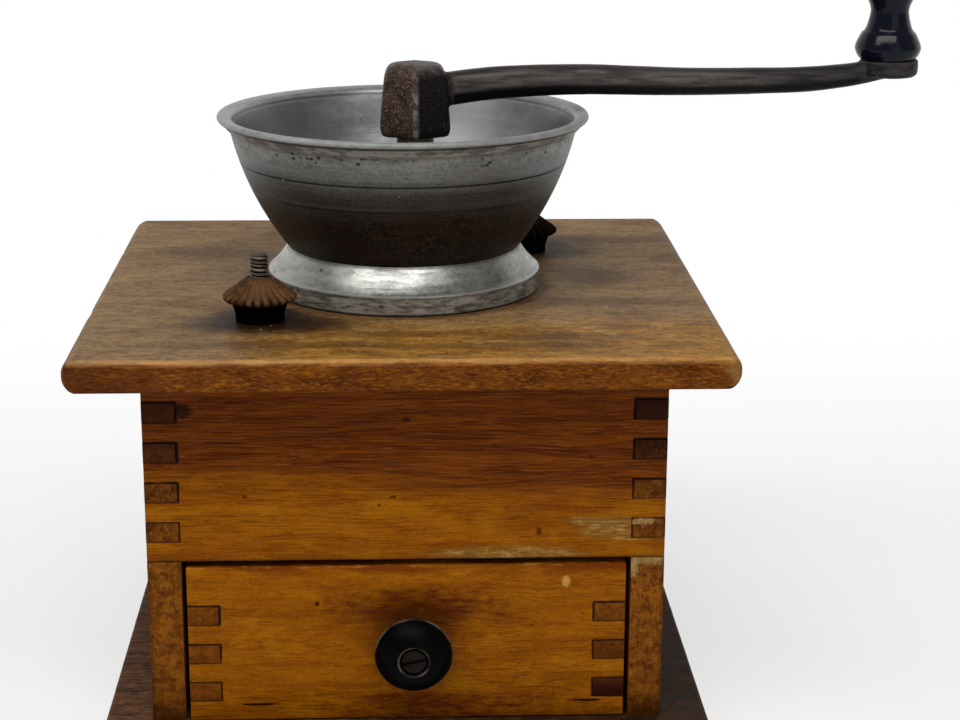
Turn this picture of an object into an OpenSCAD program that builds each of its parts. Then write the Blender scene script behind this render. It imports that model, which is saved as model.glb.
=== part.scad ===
// Hand-cranked box coffee mill: finger-jointed case with a drawer, a footed hopper
// and a conical burr mechanism clamped under the top board.
// Origin at the centre of the base's underside, +Z up, the drawer opens towards -Y.

/* [Case] */
// Outside width of the box
box_w = 152; // [140:1:170]
// Outside depth of the box
box_d = 152; // [140:1:170]
// Height of the box between the two boards
box_h = 107.5; // [104:0.5:125]
// Thickness of the box panels
wall = 9.8; // [8:0.1:11]
// Height of the front rail above the drawer
rail_h = 56.5; // [55:0.5:64]
// Height of one finger of the corner joints
finger_h = 6.1; // [5:0.1:7.5]
// Leg of the triangular glue blocks in the corners
glue_leg = 15; // [10:1:18]
// Height of the glue blocks
glue_h = 40; // [25:1:50]

/* [Boards] */
// Overhang of the top board past the front and back of the box
top_over = 17.6; // [15:0.1:25]
// Overhang of the top board past the sides of the box
top_side_over = 19.3; // [15:0.1:25]
// How far the top board sits to the right of the box's middle
top_x = -0.7; // [-2:0.1:2]
// Thickness of the top board
top_t = 9.5; // [7.5:0.5:11]
// Overhang of the base board past the box
base_over = 14.5; // [10:0.5:22]
// Thickness of the base board
base_t = 9.5; // [8:0.5:12]
// Rounding of the boards' edges
edge_r = 1.2; // [0.6:0.1:3]
// Rounding of the top board's two sides, as a share of its thickness
nose_share = 0.45; // [0.15:0.01:0.48]
// Rounding of the boards' corners seen from above
corner_r = 4; // [2:0.5:8]
// Shank diameter of the base screws
base_screw_d = 4; // [3:0.1:5]
// How far the base screws reach into the panels
base_screw_grip = 18; // [12:1:25]

/* [Drawer] */
// Gap between the drawer and each side of the box
drawer_side_gap = 1.4; // [0.4:0.1:2]
// Gap between the drawer and the rail above it
drawer_top_gap = 2; // [0.8:0.1:2.5]
// Gap between the drawer and the base under it
drawer_floor_gap = 0.3; // [0.2:0.1:0.6]
// Gap between the drawer and the back panel
drawer_back_gap = 3; // [1:0.5:8]
// Thickness of the drawer's walls
drawer_wall = 9.5; // [8:0.5:11]
// How much lower the drawer's back is than its front
drawer_back_drop = 5; // [2:0.5:10]
// Thickness of the drawer's bottom panel
drawer_floor_t = 4; // [3:0.5:6]
// Height of the bottom panel above the drawer's lower edge
drawer_floor_z = 4; // [2:0.5:6]
// Depth of the grooves that hold the bottom panel
groove = 3.5; // [2:0.5:5]
// Diameter of the drawer knob
pull_d = 23; // [18:0.5:28]
// How far the drawer knob sits to the right of the middle
pull_x = 1.8; // [-3:0.1:3]
// How far the drawer knob stands out
pull_l = 15; // [12:0.5:18]
// Diameter of the drawer knob's neck
pull_neck_d = 12; // [10:0.5:14]
// Head diameter of the drawer knob's screw
pull_screw_head_d = 7; // [6:0.1:8]
// Shank diameter of the drawer knob's screw
pull_screw_d = 4; // [3:0.1:4.5]

/* [Hopper] */
// How far the hopper sits behind the middle of the boards
mill_y = -4.5; // [-5:0.5:5]
// Radius of the hopper's rim
rim_r = 57.7; // [55:0.1:60]
// Height of the rim above the top board
rim_z = 55; // [52:0.5:56.5]
// Width of the flared lip
lip_w = 3.8; // [3:0.1:5]
// Radius of the bowl just under the lip
bowl_top_r = 53.7; // [51:0.1:54]
// Radius of the curve of the bowl's wall
bowl_curve_r = 90.5; // [70:0.5:120]
// Thickness of the pewter
pewter_t = 1.8; // [1.5:0.1:2.4]
// Radius of the waist where bowl and foot meet
waist_r = 36.4; // [34.5:0.1:38]
// Height of the foot
foot_h = 13.8; // [12:0.1:16]
// Radius of the foot on the board
foot_r = 42.8; // [41:0.1:46]
// Height of the foot's upright band
foot_band = 6.1; // [4:0.1:8]
// Height of the upper scribed line above the board
scribe_high = 41.5; // [38:0.5:45]
// Height of the lower scribed line above the board
scribe_low = 32.6; // [28:0.5:36]
// Width of the scribed lines
scribe_w = 0.5; // [0.3:0.1:0.8]

/* [Clamp bolts] */
// Distance of the bolts from the middle between them along X
bolt_x = 42; // [40:0.5:46]
// Distance of the bolts from the middle between them along Y
bolt_y = 45.5; // [42:0.5:48]
// Offset of that middle from the hopper's centre along X
bolt_off_x = -1; // [-2:0.5:2]
// Offset of that middle from the hopper's centre along Y
bolt_off_y = 1.4; // [-2:0.1:3]
// Diameter of the bolts
bolt_d = 5.8; // [5:0.1:6.4]
// Height of the bolts' tips above the top board
bolt_tip = 19.9; // [17:0.1:24]
// Rim diameter of the lobed nuts
nut_d = 22.2; // [20:0.2:25]
// Height of the lobed nuts
nut_h = 13.2; // [12:0.2:15]
// Height of the nuts' rim
nut_rim_z = 7.6; // [7:0.1:8]
// Diameter of the nuts where they stand on the board
nut_foot_d = 15.2; // [13:0.2:16]
// Number of lobes round each nut's rim
flutes = 24; // [12:1:26]

/* [Burrs] */
// How far the grinding axis sits to the right of the hopper's centre
axis_x = 3.7; // [0:0.1:6]
// Radius of the passage for the beans
throat_r = 20; // [18:0.5:21]
// Thickness of the housing's walls
iron_t = 3.5; // [3:0.1:4.5]
// Thickness of the housing's flange and ears
flange_t = 4.5; // [4:0.1:6]
// Height of the housing's bell under the flange
bell_h = 24; // [22:0.5:26]
// Outside radius of the ring burr
ring_r = 22; // [21.5:0.1:23.5]
// Height of the ring burr
ring_h = 18; // [16:0.5:19.5]
// Number of teeth of the ring burr
ring_teeth = 18; // [12:1:24]
// Largest radius of the cone burr
cone_r = 16.9; // [15:0.1:17]
// Radius of the cone burr at its top
cone_top_r = 9.2; // [8.8:0.1:11]
// Height of the cone burr
cone_h = 22; // [19:0.5:23]
// Number of teeth of the cone burr
cone_teeth = 10; // [8:1:14]
// Twist of the burrs' teeth in degrees
tooth_twist = 50; // [20:5:70]
// Gap between the burrs at rest
grind_gap = 0.65; // [0.6:0.05:1]

/* [Spindle] */
// Diameter of the spindle
spindle_d = 11.5; // [10:0.1:12]
// Side of the spindle's square end
square_w = 7.6; // [6:0.1:8]
// Diameter of the spindle's foot
toe_d = 8; // [6:0.1:8.5]
// Depth of the foot's socket in the thrust pad
toe_depth = 3; // [2:0.1:4]
// Radial play of the running fits
play = 0.06; // [0.03:0.01:0.1]
// Travel of the spindle up and down from rest
lift = 1.5; // [0.5:0.1:1.8]
// Thickness of the bridge across the throat
bridge_t = 4; // [3:0.1:5]
// Width of the bridge's arms
bridge_arm_w = 6; // [4:0.5:8]
// Thickness of the step bar under the burrs
bar_t = 5; // [4:0.1:6]
// Width of the step bar
bar_w = 14; // [13:0.5:16]
// Height of the thrust pad
pad_h = 6; // [5:0.1:7]
// Diameter of the regulating screw
reg_d = 8; // [6:0.1:8.5]
// Diameter of the regulating screw's head
reg_head_d = 22; // [18:0.5:26]
// Height of the regulating screw's head
reg_head_h = 6; // [4:0.5:7]

/* [Crank] */
// Distance from the spindle's axis to the knob's axis
reach = 147.1; // [120:0.1:170]
// Width of the hub across its flats
hub_w = 21.8; // [18:0.2:24]
// Height of the hub
hub_h = 22.5; // [20:0.5:26]
// Height of the hub's underside above the top board
hub_z = 48; // [46:0.1:56]
// Height of the arm at its root
arm_root_t = 10.6; // [9:0.1:12]
// Height of the arm at its tip
arm_tip_t = 6.4; // [5:0.1:7.5]
// Width of the arm at its root
arm_root_w = 10.5; // [8:0.5:12]
// Width of the arm at its tip
arm_tip_w = 9; // [7:0.5:11]
// Diameter of the pad under the knob
arm_pad_d = 18.2; // [17:0.2:24]
// How far the pad's middle lies beyond the knob's axis
arm_pad_x = 0.6; // [0:0.1:1.5]
// Thickness of the pad under the knob
arm_pad_t = 5.5; // [4.5:0.1:7]
// Rise of the pad's top over the arm's root
arm_rise = 8.5; // [7:0.1:11]

/* [Crank knob] */
// Largest diameter of the crank knob
knob_d = 25; // [22:0.5:30]
// Diameter of the collar at the knob's foot
knob_collar_d = 20.2; // [17:0.1:22]
// Diameter of the knob's neck
knob_neck_d = 11.9; // [11.5:0.1:14]
// Height of the crank knob
knob_h = 48; // [40:1:56]
// Diameter of the knob's pin
pin_d = 5.2; // [4.5:0.1:6]

/* [Hidden] */
$fn = 64;
// Slack between pieces that are fastened together
joint_slack = 0.05;
// How far cuts reach past the faces that they open
past = 1;
// Overlap that keeps cuts clear of coincident faces
tiny = 0.02;
// How far countersunk and riveted ends lie below the surface
head_sink = 0.3;
// Room around pieces that pass through an opening
pass_room = 0.7;

// Levels, from the base up
base_w = box_w + 2 * base_over;
base_d = box_d + 2 * base_over;
top_w = box_w + 2 * top_side_over;
top_d = box_d + 2 * top_over;
box_top = base_t + box_h;
deck = box_top + top_t;
rail_z = box_top - rail_h;
inner_w = box_w - 2 * wall;

// Levels of the mechanism, measured down from the top board's upper face
flange_top = -top_t;
flange_under = flange_top - flange_t;
bell_under = flange_under - bell_h;
collar_top = foot_h - bridge_t;
collar_r = throat_r + iron_t;
lug_screw_d = 3;
lug_r = lug_screw_d + 0.8;
lug_ring_r = collar_r + lug_r / 2;
lug_angles = [60, 180, 300];
opening_r = lug_ring_r + lug_r + pass_room;
flange_rim = 4;
bar_under = bell_under - bar_t;
end_room = 1;
cone_z = bell_under + lift + end_room;
pad_wall = 1.5;
pad_r = toe_d / 2 + pad_wall;
pad_top = bell_under;
pad_well = pad_h + lift + end_room / 2;
boss_wall = 4.5;
boss_r = pad_r + boss_wall;
reg_nut_h = 6;
boss_under = pad_top - pad_well - reg_nut_h;
reg_head_top = boss_under - lift - end_room;
toe_end = pad_top - toe_depth;
spindle_r = spindle_d / 2;
bush_wall = 4;
bush_r = spindle_r + bush_wall;
bush_h = 3 * bridge_t;
ring_taper = 0.19;
ring_tip_r = cone_r + grind_gap + ring_taper * (cone_z - bell_under);
ring_groove = 1.5;
cone_groove = 2.2;
ear_wall = 5.3;
ear_w = bolt_d + 2 * ear_wall;
ear_arm = 0.8;
bolt_head_w = 1.8 * bolt_d;
bolt_head_t = 4;

// Hopper
lip_drop = 5.3;
lip_z = rim_z - lip_drop;
lip_t = 1.9;
foot_curve_r = 30;
lug_reach = max([for (a = lug_angles) norm([axis_x + lug_ring_r * cos(a), lug_ring_r * sin(a)])]) + lug_r;
foot_flange_r = lug_reach + pass_room / 2;
lug_screw_grip = 9;
lug_screw_l = pewter_t + bridge_t + lug_screw_grip;
bar_lug_r = 5;
bar_screw_x = ring_r + iron_t + 0.3 * bar_lug_r;
bar_screw_grip = 10;
cone_pin_d = 3;
cone_pin_drop = 5;
cone_pin_end = 2;

// Base screws, as shares of the box's depth and width
side_screw_shares = [-0.3, 0.25];
back_screw_shares = [-0.25, 0.25];

// Drawer
drawer_w = inner_w - 2 * drawer_side_gap;
drawer_z = base_t + drawer_floor_gap;
drawer_h = rail_z - drawer_top_gap - drawer_z;
drawer_d = box_d - wall - drawer_back_gap;
drawer_y = -box_d / 2;
drawer_in_w = drawer_w - 2 * drawer_wall;
drawer_in_d = drawer_d - 2 * drawer_wall;
pull_z = drawer_z + drawer_h / 2;
pull_screw_sink = 2.6;
pull_screw_cover = 1.5;
pull_screw_grip = drawer_wall - pull_screw_cover;
drawer_back_h = drawer_h - drawer_back_drop;

// Crank
hub_top = hub_z + hub_h;
arm_drop = 7.7;
arm_z = hub_top - arm_drop;
pad_z = arm_z + arm_rise - arm_pad_t;
hub_roof = 6;
// Exponent of the hub's six-sided section, higher for sharper corners
hub_edge = 24;
socket_h = hub_h - hub_roof;
washer_t = 1;
knob_gap = 0.2;
knob_z = pad_z + arm_pad_t + knob_gap;
knob_x = axis_x + reach;
knob_flat_r = 5.4;
// Shares of the reach along the arm, and heights over its root
arm_bends = [[0.05, -0.9], [0.18, 1.5], [0.36, 2.4], [0.56, 1.7], [0.79, 2.1], [0.91, 3.5]];
arm_path = concat([for (p = arm_bends) [p[0] * reach, arm_z + p[1]]], [[reach, pad_z + arm_pad_t / 2]]);

// Points of an arc of radius r from p to q, bulging to the right of that direction
function arc_points(p, q, r, n) =
    let (half = norm(q - p) / 2, mid = (p + q) / 2, dir = (q - p) / norm(q - p),
        left = [-dir[1], dir[0]], c = mid + left * sqrt(r * r - half * half),
        a0 = atan2(p[1] - c[1], p[0] - c[0]), sweep = 2 * asin(half / r))
    [for (i = [0:n]) c + r * [cos(a0 + sweep * i / n), sin(a0 + sweep * i / n)]];

// The same points in the other direction
function flip(p) = [for (i = [len(p) - 1:-1:0]) p[i]];

// Outside radius of the bowl's wall at height z
function bowl_r(z) =
    let (p = [waist_r, foot_h], q = [bowl_top_r, lip_z], half = norm(q - p) / 2,
        dir = (q - p) / norm(q - p), left = [-dir[1], dir[0]],
        c = (p + q) / 2 + left * sqrt(bowl_curve_r * bowl_curve_r - half * half))
    c[0] + sqrt(bowl_curve_r * bowl_curve_r - (z - c[1]) * (z - c[1]));

// Smooth curve through a list of points
function spline_at(p, i, t) =
    let (a = p[max(i - 1, 0)], b = p[i], c = p[i + 1], d = p[min(i + 2, len(p) - 1)])
    0.5 * (2 * b + (c - a) * t + (2 * a - 5 * b + 4 * c - d) * pow(t, 2)
        + (3 * b - 3 * c + d - a) * pow(t, 3));
function spline(p, n) =
    [for (i = [0:len(p) - 2]) for (k = [0:n - 1]) spline_at(p, i, k / n), p[len(p) - 1]];

// Closed solid through a row of rings that have the same number of points
module loft(rings) {
    n = len(rings[0]);
    last = len(rings) - 1;
    points = [for (ring = rings) each ring];
    sides = [for (j = [0:last - 1]) for (i = [0:n - 1])
        let (a = j * n + i, b = j * n + (i + 1) % n) each [[a, a + n, b], [b, a + n, b + n]]];
    foot = [for (i = [1:n - 2]) [0, i, i + 1]];
    cap = [for (i = [1:n - 2]) [last * n, last * n + i + 1, last * n + i]];
    polyhedron(points, concat(sides, foot, cap), convexity = 4);
}

module rounded_rect(w, h, r) {
    square([w - 2 * r, h], center = true);
    square([w, h - 2 * r], center = true);
    for (x = [-1, 1], y = [-1, 1]) translate([x * (w / 2 - r), y * (h / 2 - r)]) circle(r);
}

// Board with rounded edges and corners, standing on z = 0; its two sides have their own rounding
module board(w, d, t, side_r) {
    translate([0, 0, t / 2])
        intersection() {
            linear_extrude(t, center = true) rounded_rect(w, d, corner_r);
            rotate([90, 0, 0]) linear_extrude(d, center = true) rounded_rect(w, t, side_r);
            rotate([90, 0, 90]) linear_extrude(w, center = true) rounded_rect(d, t, edge_r);
        }
}

// Low domed head of radius r, standing on z = 0
module dome(r) {
    rotate_extrude()
        intersection() {
            translate([0, -r / 2]) circle(r * sqrt(1.25));
            square(r);
        }
}

// Lower ends of the fingers along a joint of height h, counted up from its foot
function fingers(h) = [for (k = [1:2:h / finger_h - 2]) k * finger_h];

// The fingers themselves, as posts of the given footprint, to add or to cut
module finger_posts(h, size) {
    for (z = fingers(h)) translate([0, 0, z]) cube([size[0], size[1], finger_h]);
}

// Places on the mill, measured from the top board's upper face
module on_deck(z = 0) {
    translate([0, mill_y, deck + z]) children();
}

module on_axis(z = 0) {
    on_deck(z) translate([axis_x, 0, 0]) children();
}

module at_bolt(side) {
    on_deck() translate([bolt_off_x + side * bolt_x, bolt_off_y + side * bolt_y, 0]) children();
}

module at_lugs() {
    for (a = lug_angles) rotate(a) translate([lug_ring_r, 0, 0]) children();
}

// Places of the base screws: two in each side panel and two in the back
function base_screw_places() = [
    for (x = [-1, 1], y = side_screw_shares) [x * (box_w - wall) / 2, y * box_d],
    for (x = back_screw_shares) [x * box_w, (box_d - wall) / 2]];

module base_screw_holes(extra) {
    for (p = base_screw_places()) translate([p[0], p[1], 0]) base_screw(extra);
}

module base_screw(extra) {
    r = base_screw_d / 2;
    head_r = base_screw_d;
    translate([0, 0, head_sink])
        rotate_extrude() polygon([[0, 0], [head_r + extra, 0], [r + extra, head_r - r],
            [r + extra, base_t + base_screw_grip + extra], [0, base_t + base_screw_grip + extra]]);
    if (extra > 0) cylinder(r = head_r + extra, h = head_sink + tiny);
}

module base_board() {
    color([0.24, 0.17, 0.13])
        difference() {
            board(base_w, base_d, base_t, edge_r);
            base_screw_holes(joint_slack);
        }
}

// One side panel: fingers meet the rail in front and the back panel behind
module side_panel(side) {
    difference() {
        translate([side * (box_w - wall) / 2 - wall / 2, -box_d / 2, base_t]) {
            difference() {
                cube([wall, box_d, box_h]);
                translate([-past, -past, rail_z - base_t])
                    cube([wall + 2 * past, wall + past, rail_h + past]);
                translate([-past, box_d - wall, -past])
                    cube([wall + 2 * past, wall + past, box_h + 2 * past]);
            }
            translate([0, 0, rail_z - base_t]) finger_posts(rail_h, [wall, wall]);
            translate([0, box_d - wall, 0]) finger_posts(box_h, [wall, wall]);
        }
        base_screw_holes(joint_slack);
    }
}

module left_side() {
    color([0.42, 0.25, 0.12]) side_panel(-1);
}

module right_side() {
    color([0.42, 0.25, 0.12]) side_panel(1);
}

module corner_notches(h, y, z) {
    for (x = [-box_w / 2, box_w / 2 - wall]) translate([x, y, z]) finger_posts(h, [wall, wall]);
}

module front_rail() {
    color([0.55, 0.3, 0.1])
        difference() {
            translate([-box_w / 2, -box_d / 2, rail_z]) cube([box_w, wall, rail_h]);
            corner_notches(rail_h, -box_d / 2, rail_z);
        }
}

module back_panel() {
    color([0.52, 0.29, 0.1])
        difference() {
            translate([-box_w / 2, box_d / 2 - wall, base_t]) cube([box_w, wall, box_h]);
            corner_notches(box_h, box_d / 2 - wall, base_t);
            base_screw_holes(joint_slack);
        }
}

module top_board() {
    color([0.45, 0.32, 0.2])
        difference() {
            translate([top_x, 0, box_top]) board(top_w, top_d, top_t, nose_share * top_t);
            on_axis(-top_t - past) cylinder(r = opening_r, h = top_t + 2 * past);
            for (side = [-1, 1]) at_bolt(side)
                translate([0, 0, -top_t - past]) cylinder(d = bolt_d + 2 * play, h = top_t + 2 * past);
        }
}

module glue_blocks() {
    color([0.5, 0.33, 0.18])
        for (x = [-1, 1], y = [-1, 1])
            translate([x * (box_w / 2 - wall), y * (box_d / 2 - wall), box_top - glue_h])
                linear_extrude(glue_h) polygon([[0, 0], [-x * glue_leg, 0], [0, -y * glue_leg]]);
}

module base_screws() {
    color([0.4, 0.36, 0.3])
        for (p = base_screw_places()) translate([p[0], p[1], 0]) base_screw(0);
}

// Foot of the hopper: an upright band, a hollow slope up to the waist and a flange inside
module hopper_foot() {
    inner_neck = [waist_r - pewter_t, foot_h - pewter_t];
    inner_band = [foot_r - pewter_t, foot_band - pewter_t / 2];
    color([0.62, 0.62, 0.62])
        on_deck()
            rotate_extrude($fn = 96) polygon(concat(
                [[foot_r - pewter_t, 0], [foot_r, 0]],
                flip(arc_points([waist_r, foot_h], [foot_r, foot_band], foot_curve_r, 8)),
                [[foot_flange_r, foot_h], [foot_flange_r, foot_h - pewter_t]],
                arc_points(inner_neck, inner_band, foot_curve_r, 8)));
}

// Bowl of the hopper: curved wall, flared lip, flat floor pierced by the throat
module hopper_bowl() {
    outer = arc_points([waist_r, foot_h], [bowl_top_r, lip_z], bowl_curve_r, 14);
    inner = arc_points([waist_r - pewter_t, foot_h + pewter_t], [bowl_top_r - pewter_t, lip_z],
        bowl_curve_r - pewter_t, 14);
    lip = [[rim_r - 0.3 * lip_t, rim_z - lip_t], [rim_r, rim_z - 0.6 * lip_t],
        [rim_r - 0.1 * lip_t, rim_z - 0.1 * lip_t], [rim_r - 0.5 * lip_t, rim_z],
        [rim_r - lip_w, rim_z - 0.5 * lip_t]];
    color([0.5, 0.5, 0.5])
        difference() {
            on_deck()
                difference() {
                    rotate_extrude($fn = 96) polygon(concat([[0, foot_h]], outer, lip,
                        flip(inner), [[0, foot_h + pewter_t]]));
                    for (z = [scribe_low, scribe_high])
                        rotate_extrude($fn = 96)
                            translate([bowl_r(z), z]) circle(d = scribe_w, $fn = 16);
                }
            on_axis(foot_h - past) {
                cylinder(r = throat_r, h = pewter_t + 2 * past);
                at_lugs() cylinder(d = lug_screw_d + 2 * joint_slack, h = pewter_t + 2 * past);
            }
        }
}

module hopper_screws() {
    color([0.45, 0.42, 0.38])
        on_axis(foot_h + pewter_t) at_lugs() {
            dome(lug_screw_d);
            translate([0, 0, -lug_screw_l]) cylinder(d = lug_screw_d, h = lug_screw_l);
        }
}

module lug_screw_holes() {
    at_lugs() translate([0, 0, foot_h + pewter_t - lug_screw_l - joint_slack])
        cylinder(d = lug_screw_d + 2 * joint_slack, h = lug_screw_l + past);
}

module bar_screw_places() {
    for (x = [-1, 1]) translate([x * bar_screw_x, 0, 0]) children();
}

// Plan of the flange, with arms that reach to eyes around the two clamp bolts
module flange_plan() {
    translate([axis_x, 0]) circle(opening_r + flange_rim);
    translate([bolt_off_x, bolt_off_y]) {
        rotate(atan2(bolt_y, bolt_x)) square([2 * norm([bolt_x, bolt_y]), ear_arm * ear_w], center = true);
        for (side = [-1, 1]) translate([side * bolt_x, side * bolt_y]) circle(d = ear_w);
    }
}

// Plan of the collar and of the bridge on it, with the lugs for the hopper's screws
module collar_plan() {
    circle(collar_r);
    at_lugs() circle(lug_r);
}

// Plan of the bell, with the lugs for the step bar's screws
module bell_plan() {
    circle(ring_r + iron_t);
    bar_screw_places() circle(bar_lug_r);
}

// Fixed casting: collar through the board, flange with two ears, bell for the ring burr
module burr_housing() {
    color([0.2, 0.17, 0.15])
        difference() {
            union() {
                on_deck(flange_under) linear_extrude(flange_t) flange_plan();
                on_axis(flange_under) linear_extrude(collar_top - flange_under) collar_plan();
                on_axis(bell_under) linear_extrude(bell_h + flange_t / 2) bell_plan();
            }
            on_axis() {
                translate([0, 0, bell_under]) cylinder(r = throat_r, h = collar_top - bell_under + past);
                translate([0, 0, bell_under - past])
                    cylinder(r = ring_r + joint_slack, h = ring_h + past + joint_slack);
                lug_screw_holes();
                translate([0, 0, bell_under - past]) bar_screw_places()
                    cylinder(d = lug_screw_d + 2 * joint_slack, h = bar_screw_grip + past + joint_slack);
            }
            for (side = [-1, 1]) at_bolt(side) translate([0, 0, flange_under - past])
                cylinder(d = bolt_d + 2 * play, h = flange_t + 2 * past);
        }
}

// Outline of n saw teeth between two radii
function saw(tip, root, n) = [for (i = [0:n - 1]) for (p = [[tip, 0], [tip, 0.2], [root, 0.5]])
    p[0] * [cos(360 * (i + p[1]) / n), sin(360 * (i + p[1]) / n)]];

// Ring burr: twisted teeth inside, a funnel at the top
module ring_burr() {
    top_r = ring_tip_r - ring_taper * ring_h;
    funnel_h = ring_h / 3;
    color([0.3, 0.28, 0.27])
        on_axis(bell_under)
            difference() {
                cylinder(r = ring_r, h = ring_h);
                translate([0, 0, -tiny]) linear_extrude(ring_h + 2 * tiny, twist = tooth_twist,
                    scale = top_r / ring_tip_r, slices = 12)
                    polygon(saw(ring_tip_r, ring_tip_r + ring_groove, ring_teeth));
                translate([0, 0, ring_h - funnel_h])
                    cylinder(r1 = top_r - ring_groove, r2 = throat_r - ring_groove / 3, h = funnel_h + tiny);
            }
}

// Cone burr: twisted saw teeth that run out towards the wide lower edge
module cone_burr() {
    color([0.32, 0.3, 0.28])
        on_axis(cone_z)
            difference() {
                linear_extrude(cone_h, twist = -tooth_twist, scale = cone_top_r / cone_r, slices = 14)
                    polygon(saw(cone_r, cone_r - cone_groove, cone_teeth));
                translate([0, 0, -past]) cylinder(r = spindle_r + joint_slack, h = cone_h + 2 * past);
                translate([0, 0, cone_h - cone_pin_drop]) rotate([0, 90, 0])
                    cylinder(d = cone_pin_d + 2 * joint_slack, h = 2 * cone_r, center = true);
            }
}

module cone_pin() {
    color([0.5, 0.48, 0.45])
        on_axis(cone_z + cone_h - cone_pin_drop) rotate([0, 90, 0])
            cylinder(d = cone_pin_d, h = spindle_d + 2 * cone_pin_end, center = true);
}

// Plan of the bridge: a ring on the collar, three arms and the place of the bush
module bridge_plan() {
    difference() {
        collar_plan();
        circle(throat_r);
        at_lugs() circle(d = lug_screw_d + 2 * joint_slack);
    }
    for (a = lug_angles) rotate(a) translate([0, -bridge_arm_w / 2])
        square([throat_r + iron_t / 2, bridge_arm_w]);
}

// Three-armed bridge in the throat with the spindle's upper bearing
module top_bridge() {
    color([0.22, 0.19, 0.17])
        on_axis(collar_top)
            difference() {
                union() {
                    linear_extrude(bridge_t) bridge_plan();
                    translate([0, 0, bridge_t - bush_h / 2]) cylinder(r = bush_r, h = bush_h);
                }
                translate([0, 0, -bush_h]) cylinder(r = spindle_r + play, h = 3 * bush_h);
            }
}

// Square-headed bolt that clamps the housing under the board
module clamp_bolt() {
    chamfer = bolt_d / 8;
    rotate_extrude() polygon([[0, flange_under], [bolt_d / 2, flange_under],
        [bolt_d / 2, bolt_tip - chamfer], [bolt_d / 2 - chamfer, bolt_tip], [0, bolt_tip]]);
    translate([0, 0, flange_under - bolt_head_t / 2])
        rotate(45) cube([bolt_head_w, bolt_head_w, bolt_head_t], center = true);
}

module clamp_bolt_front() {
    color([0.25, 0.2, 0.17]) at_bolt(-1) clamp_bolt();
}

module clamp_bolt_rear() {
    color([0.25, 0.2, 0.17]) at_bolt(1) clamp_bolt();
}

// Nut with a waisted body, a thick lobed rim and a hollow cone up to the bolt
module clamp_nut() {
    bore_r = bolt_d / 2 + joint_slack;
    nut_r = nut_d / 2;
    foot = nut_foot_d / 2;
    rim_t = nut_h / 3;
    rim_low = nut_rim_z - rim_t / 2;
    rim_high = rim_low + rim_t;
    crown_r = 1.25 * bore_r;
    crown_h = nut_h - rim_high;
    slope_w = nut_r - crown_r;
    lobe_cut_r = PI * nut_r / flutes / 2;
    body = [[bore_r, 0], [foot, 0], [0.92 * foot, 0.4 * rim_low], [0.97 * foot, 0.7 * rim_low],
        [1.08 * foot, rim_low]];
    rim = [[0.86 * nut_r, rim_low], [0.96 * nut_r, rim_low + 0.25 * rim_t],
        [nut_r, rim_low + 0.55 * rim_t], [0.97 * nut_r, rim_low + 0.85 * rim_t], [0.86 * nut_r, rim_high]];
    cone = [[crown_r + 0.5 * slope_w, rim_high + 0.28 * crown_h],
        [crown_r + 0.2 * slope_w, rim_high + 0.6 * crown_h], [crown_r, nut_h], [bore_r, nut_h]];
    difference() {
        rotate_extrude() polygon(concat(body, rim, cone));
        for (i = [1:flutes]) rotate(360 * i / flutes)
            translate([nut_r + 0.45 * lobe_cut_r, 0, rim_low - past])
                cylinder(r = lobe_cut_r, h = rim_t + 2 * past, $fn = 24);
    }
}

module clamp_nut_front() {
    color([0.33, 0.2, 0.13]) at_bolt(-1) clamp_nut();
}

module clamp_nut_rear() {
    color([0.33, 0.2, 0.13]) at_bolt(1) clamp_nut();
}

// Bar under the bell: its boss guides the thrust pad and takes the regulating screw
module step_bar() {
    color([0.24, 0.21, 0.19])
        on_axis()
            difference() {
                union() {
                    translate([-bar_screw_x, -bar_w / 2, bar_under])
                        cube([2 * bar_screw_x, bar_w, bar_t]);
                    translate([0, 0, bar_under]) bar_screw_places() cylinder(d = bar_w, h = bar_t);
                    translate([0, 0, boss_under]) cylinder(r = boss_r, h = bell_under - boss_under);
                }
                translate([0, 0, pad_top - pad_well]) cylinder(r = pad_r + play, h = pad_well + past);
                translate([0, 0, boss_under - past])
                    cylinder(d = reg_d + 2 * play, h = reg_nut_h + 2 * past);
                translate([0, 0, bar_under - past]) bar_screw_places()
                    cylinder(d = lug_screw_d + 2 * joint_slack, h = bar_t + 2 * past);
            }
}

module step_bar_screws() {
    head_t = 0.7 * lug_screw_d;
    color([0.45, 0.42, 0.38])
        on_axis(bar_under) bar_screw_places() {
            translate([0, 0, -head_t]) cylinder(r = lug_screw_d, h = head_t);
            cylinder(d = lug_screw_d, h = bar_t + bar_screw_grip);
        }
}

module thrust_pad() {
    color([0.55, 0.53, 0.5])
        on_axis(pad_top - pad_h)
            difference() {
                cylinder(r = pad_r, h = pad_h);
                translate([0, 0, pad_h - toe_depth]) cylinder(d = toe_d + 2 * play, h = toe_depth + past);
            }
}

// Thumb screw that lifts the spindle and so sets the grind
module regulating_screw() {
    scallops = 12;
    scallop_r = reg_head_d / 9;
    color([0.36, 0.33, 0.3])
        on_axis() {
            translate([0, 0, reg_head_top]) cylinder(d = reg_d, h = pad_top - pad_h - reg_head_top);
            translate([0, 0, reg_head_top - reg_head_h])
                difference() {
                    cylinder(d = reg_head_d, h = reg_head_h);
                    for (i = [1:scallops]) rotate(360 * i / scallops)
                        translate([(reg_head_d + scallop_r) / 2, 0, -past])
                            cylinder(r = scallop_r, h = reg_head_h + 2 * past);
                }
        }
}

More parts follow.
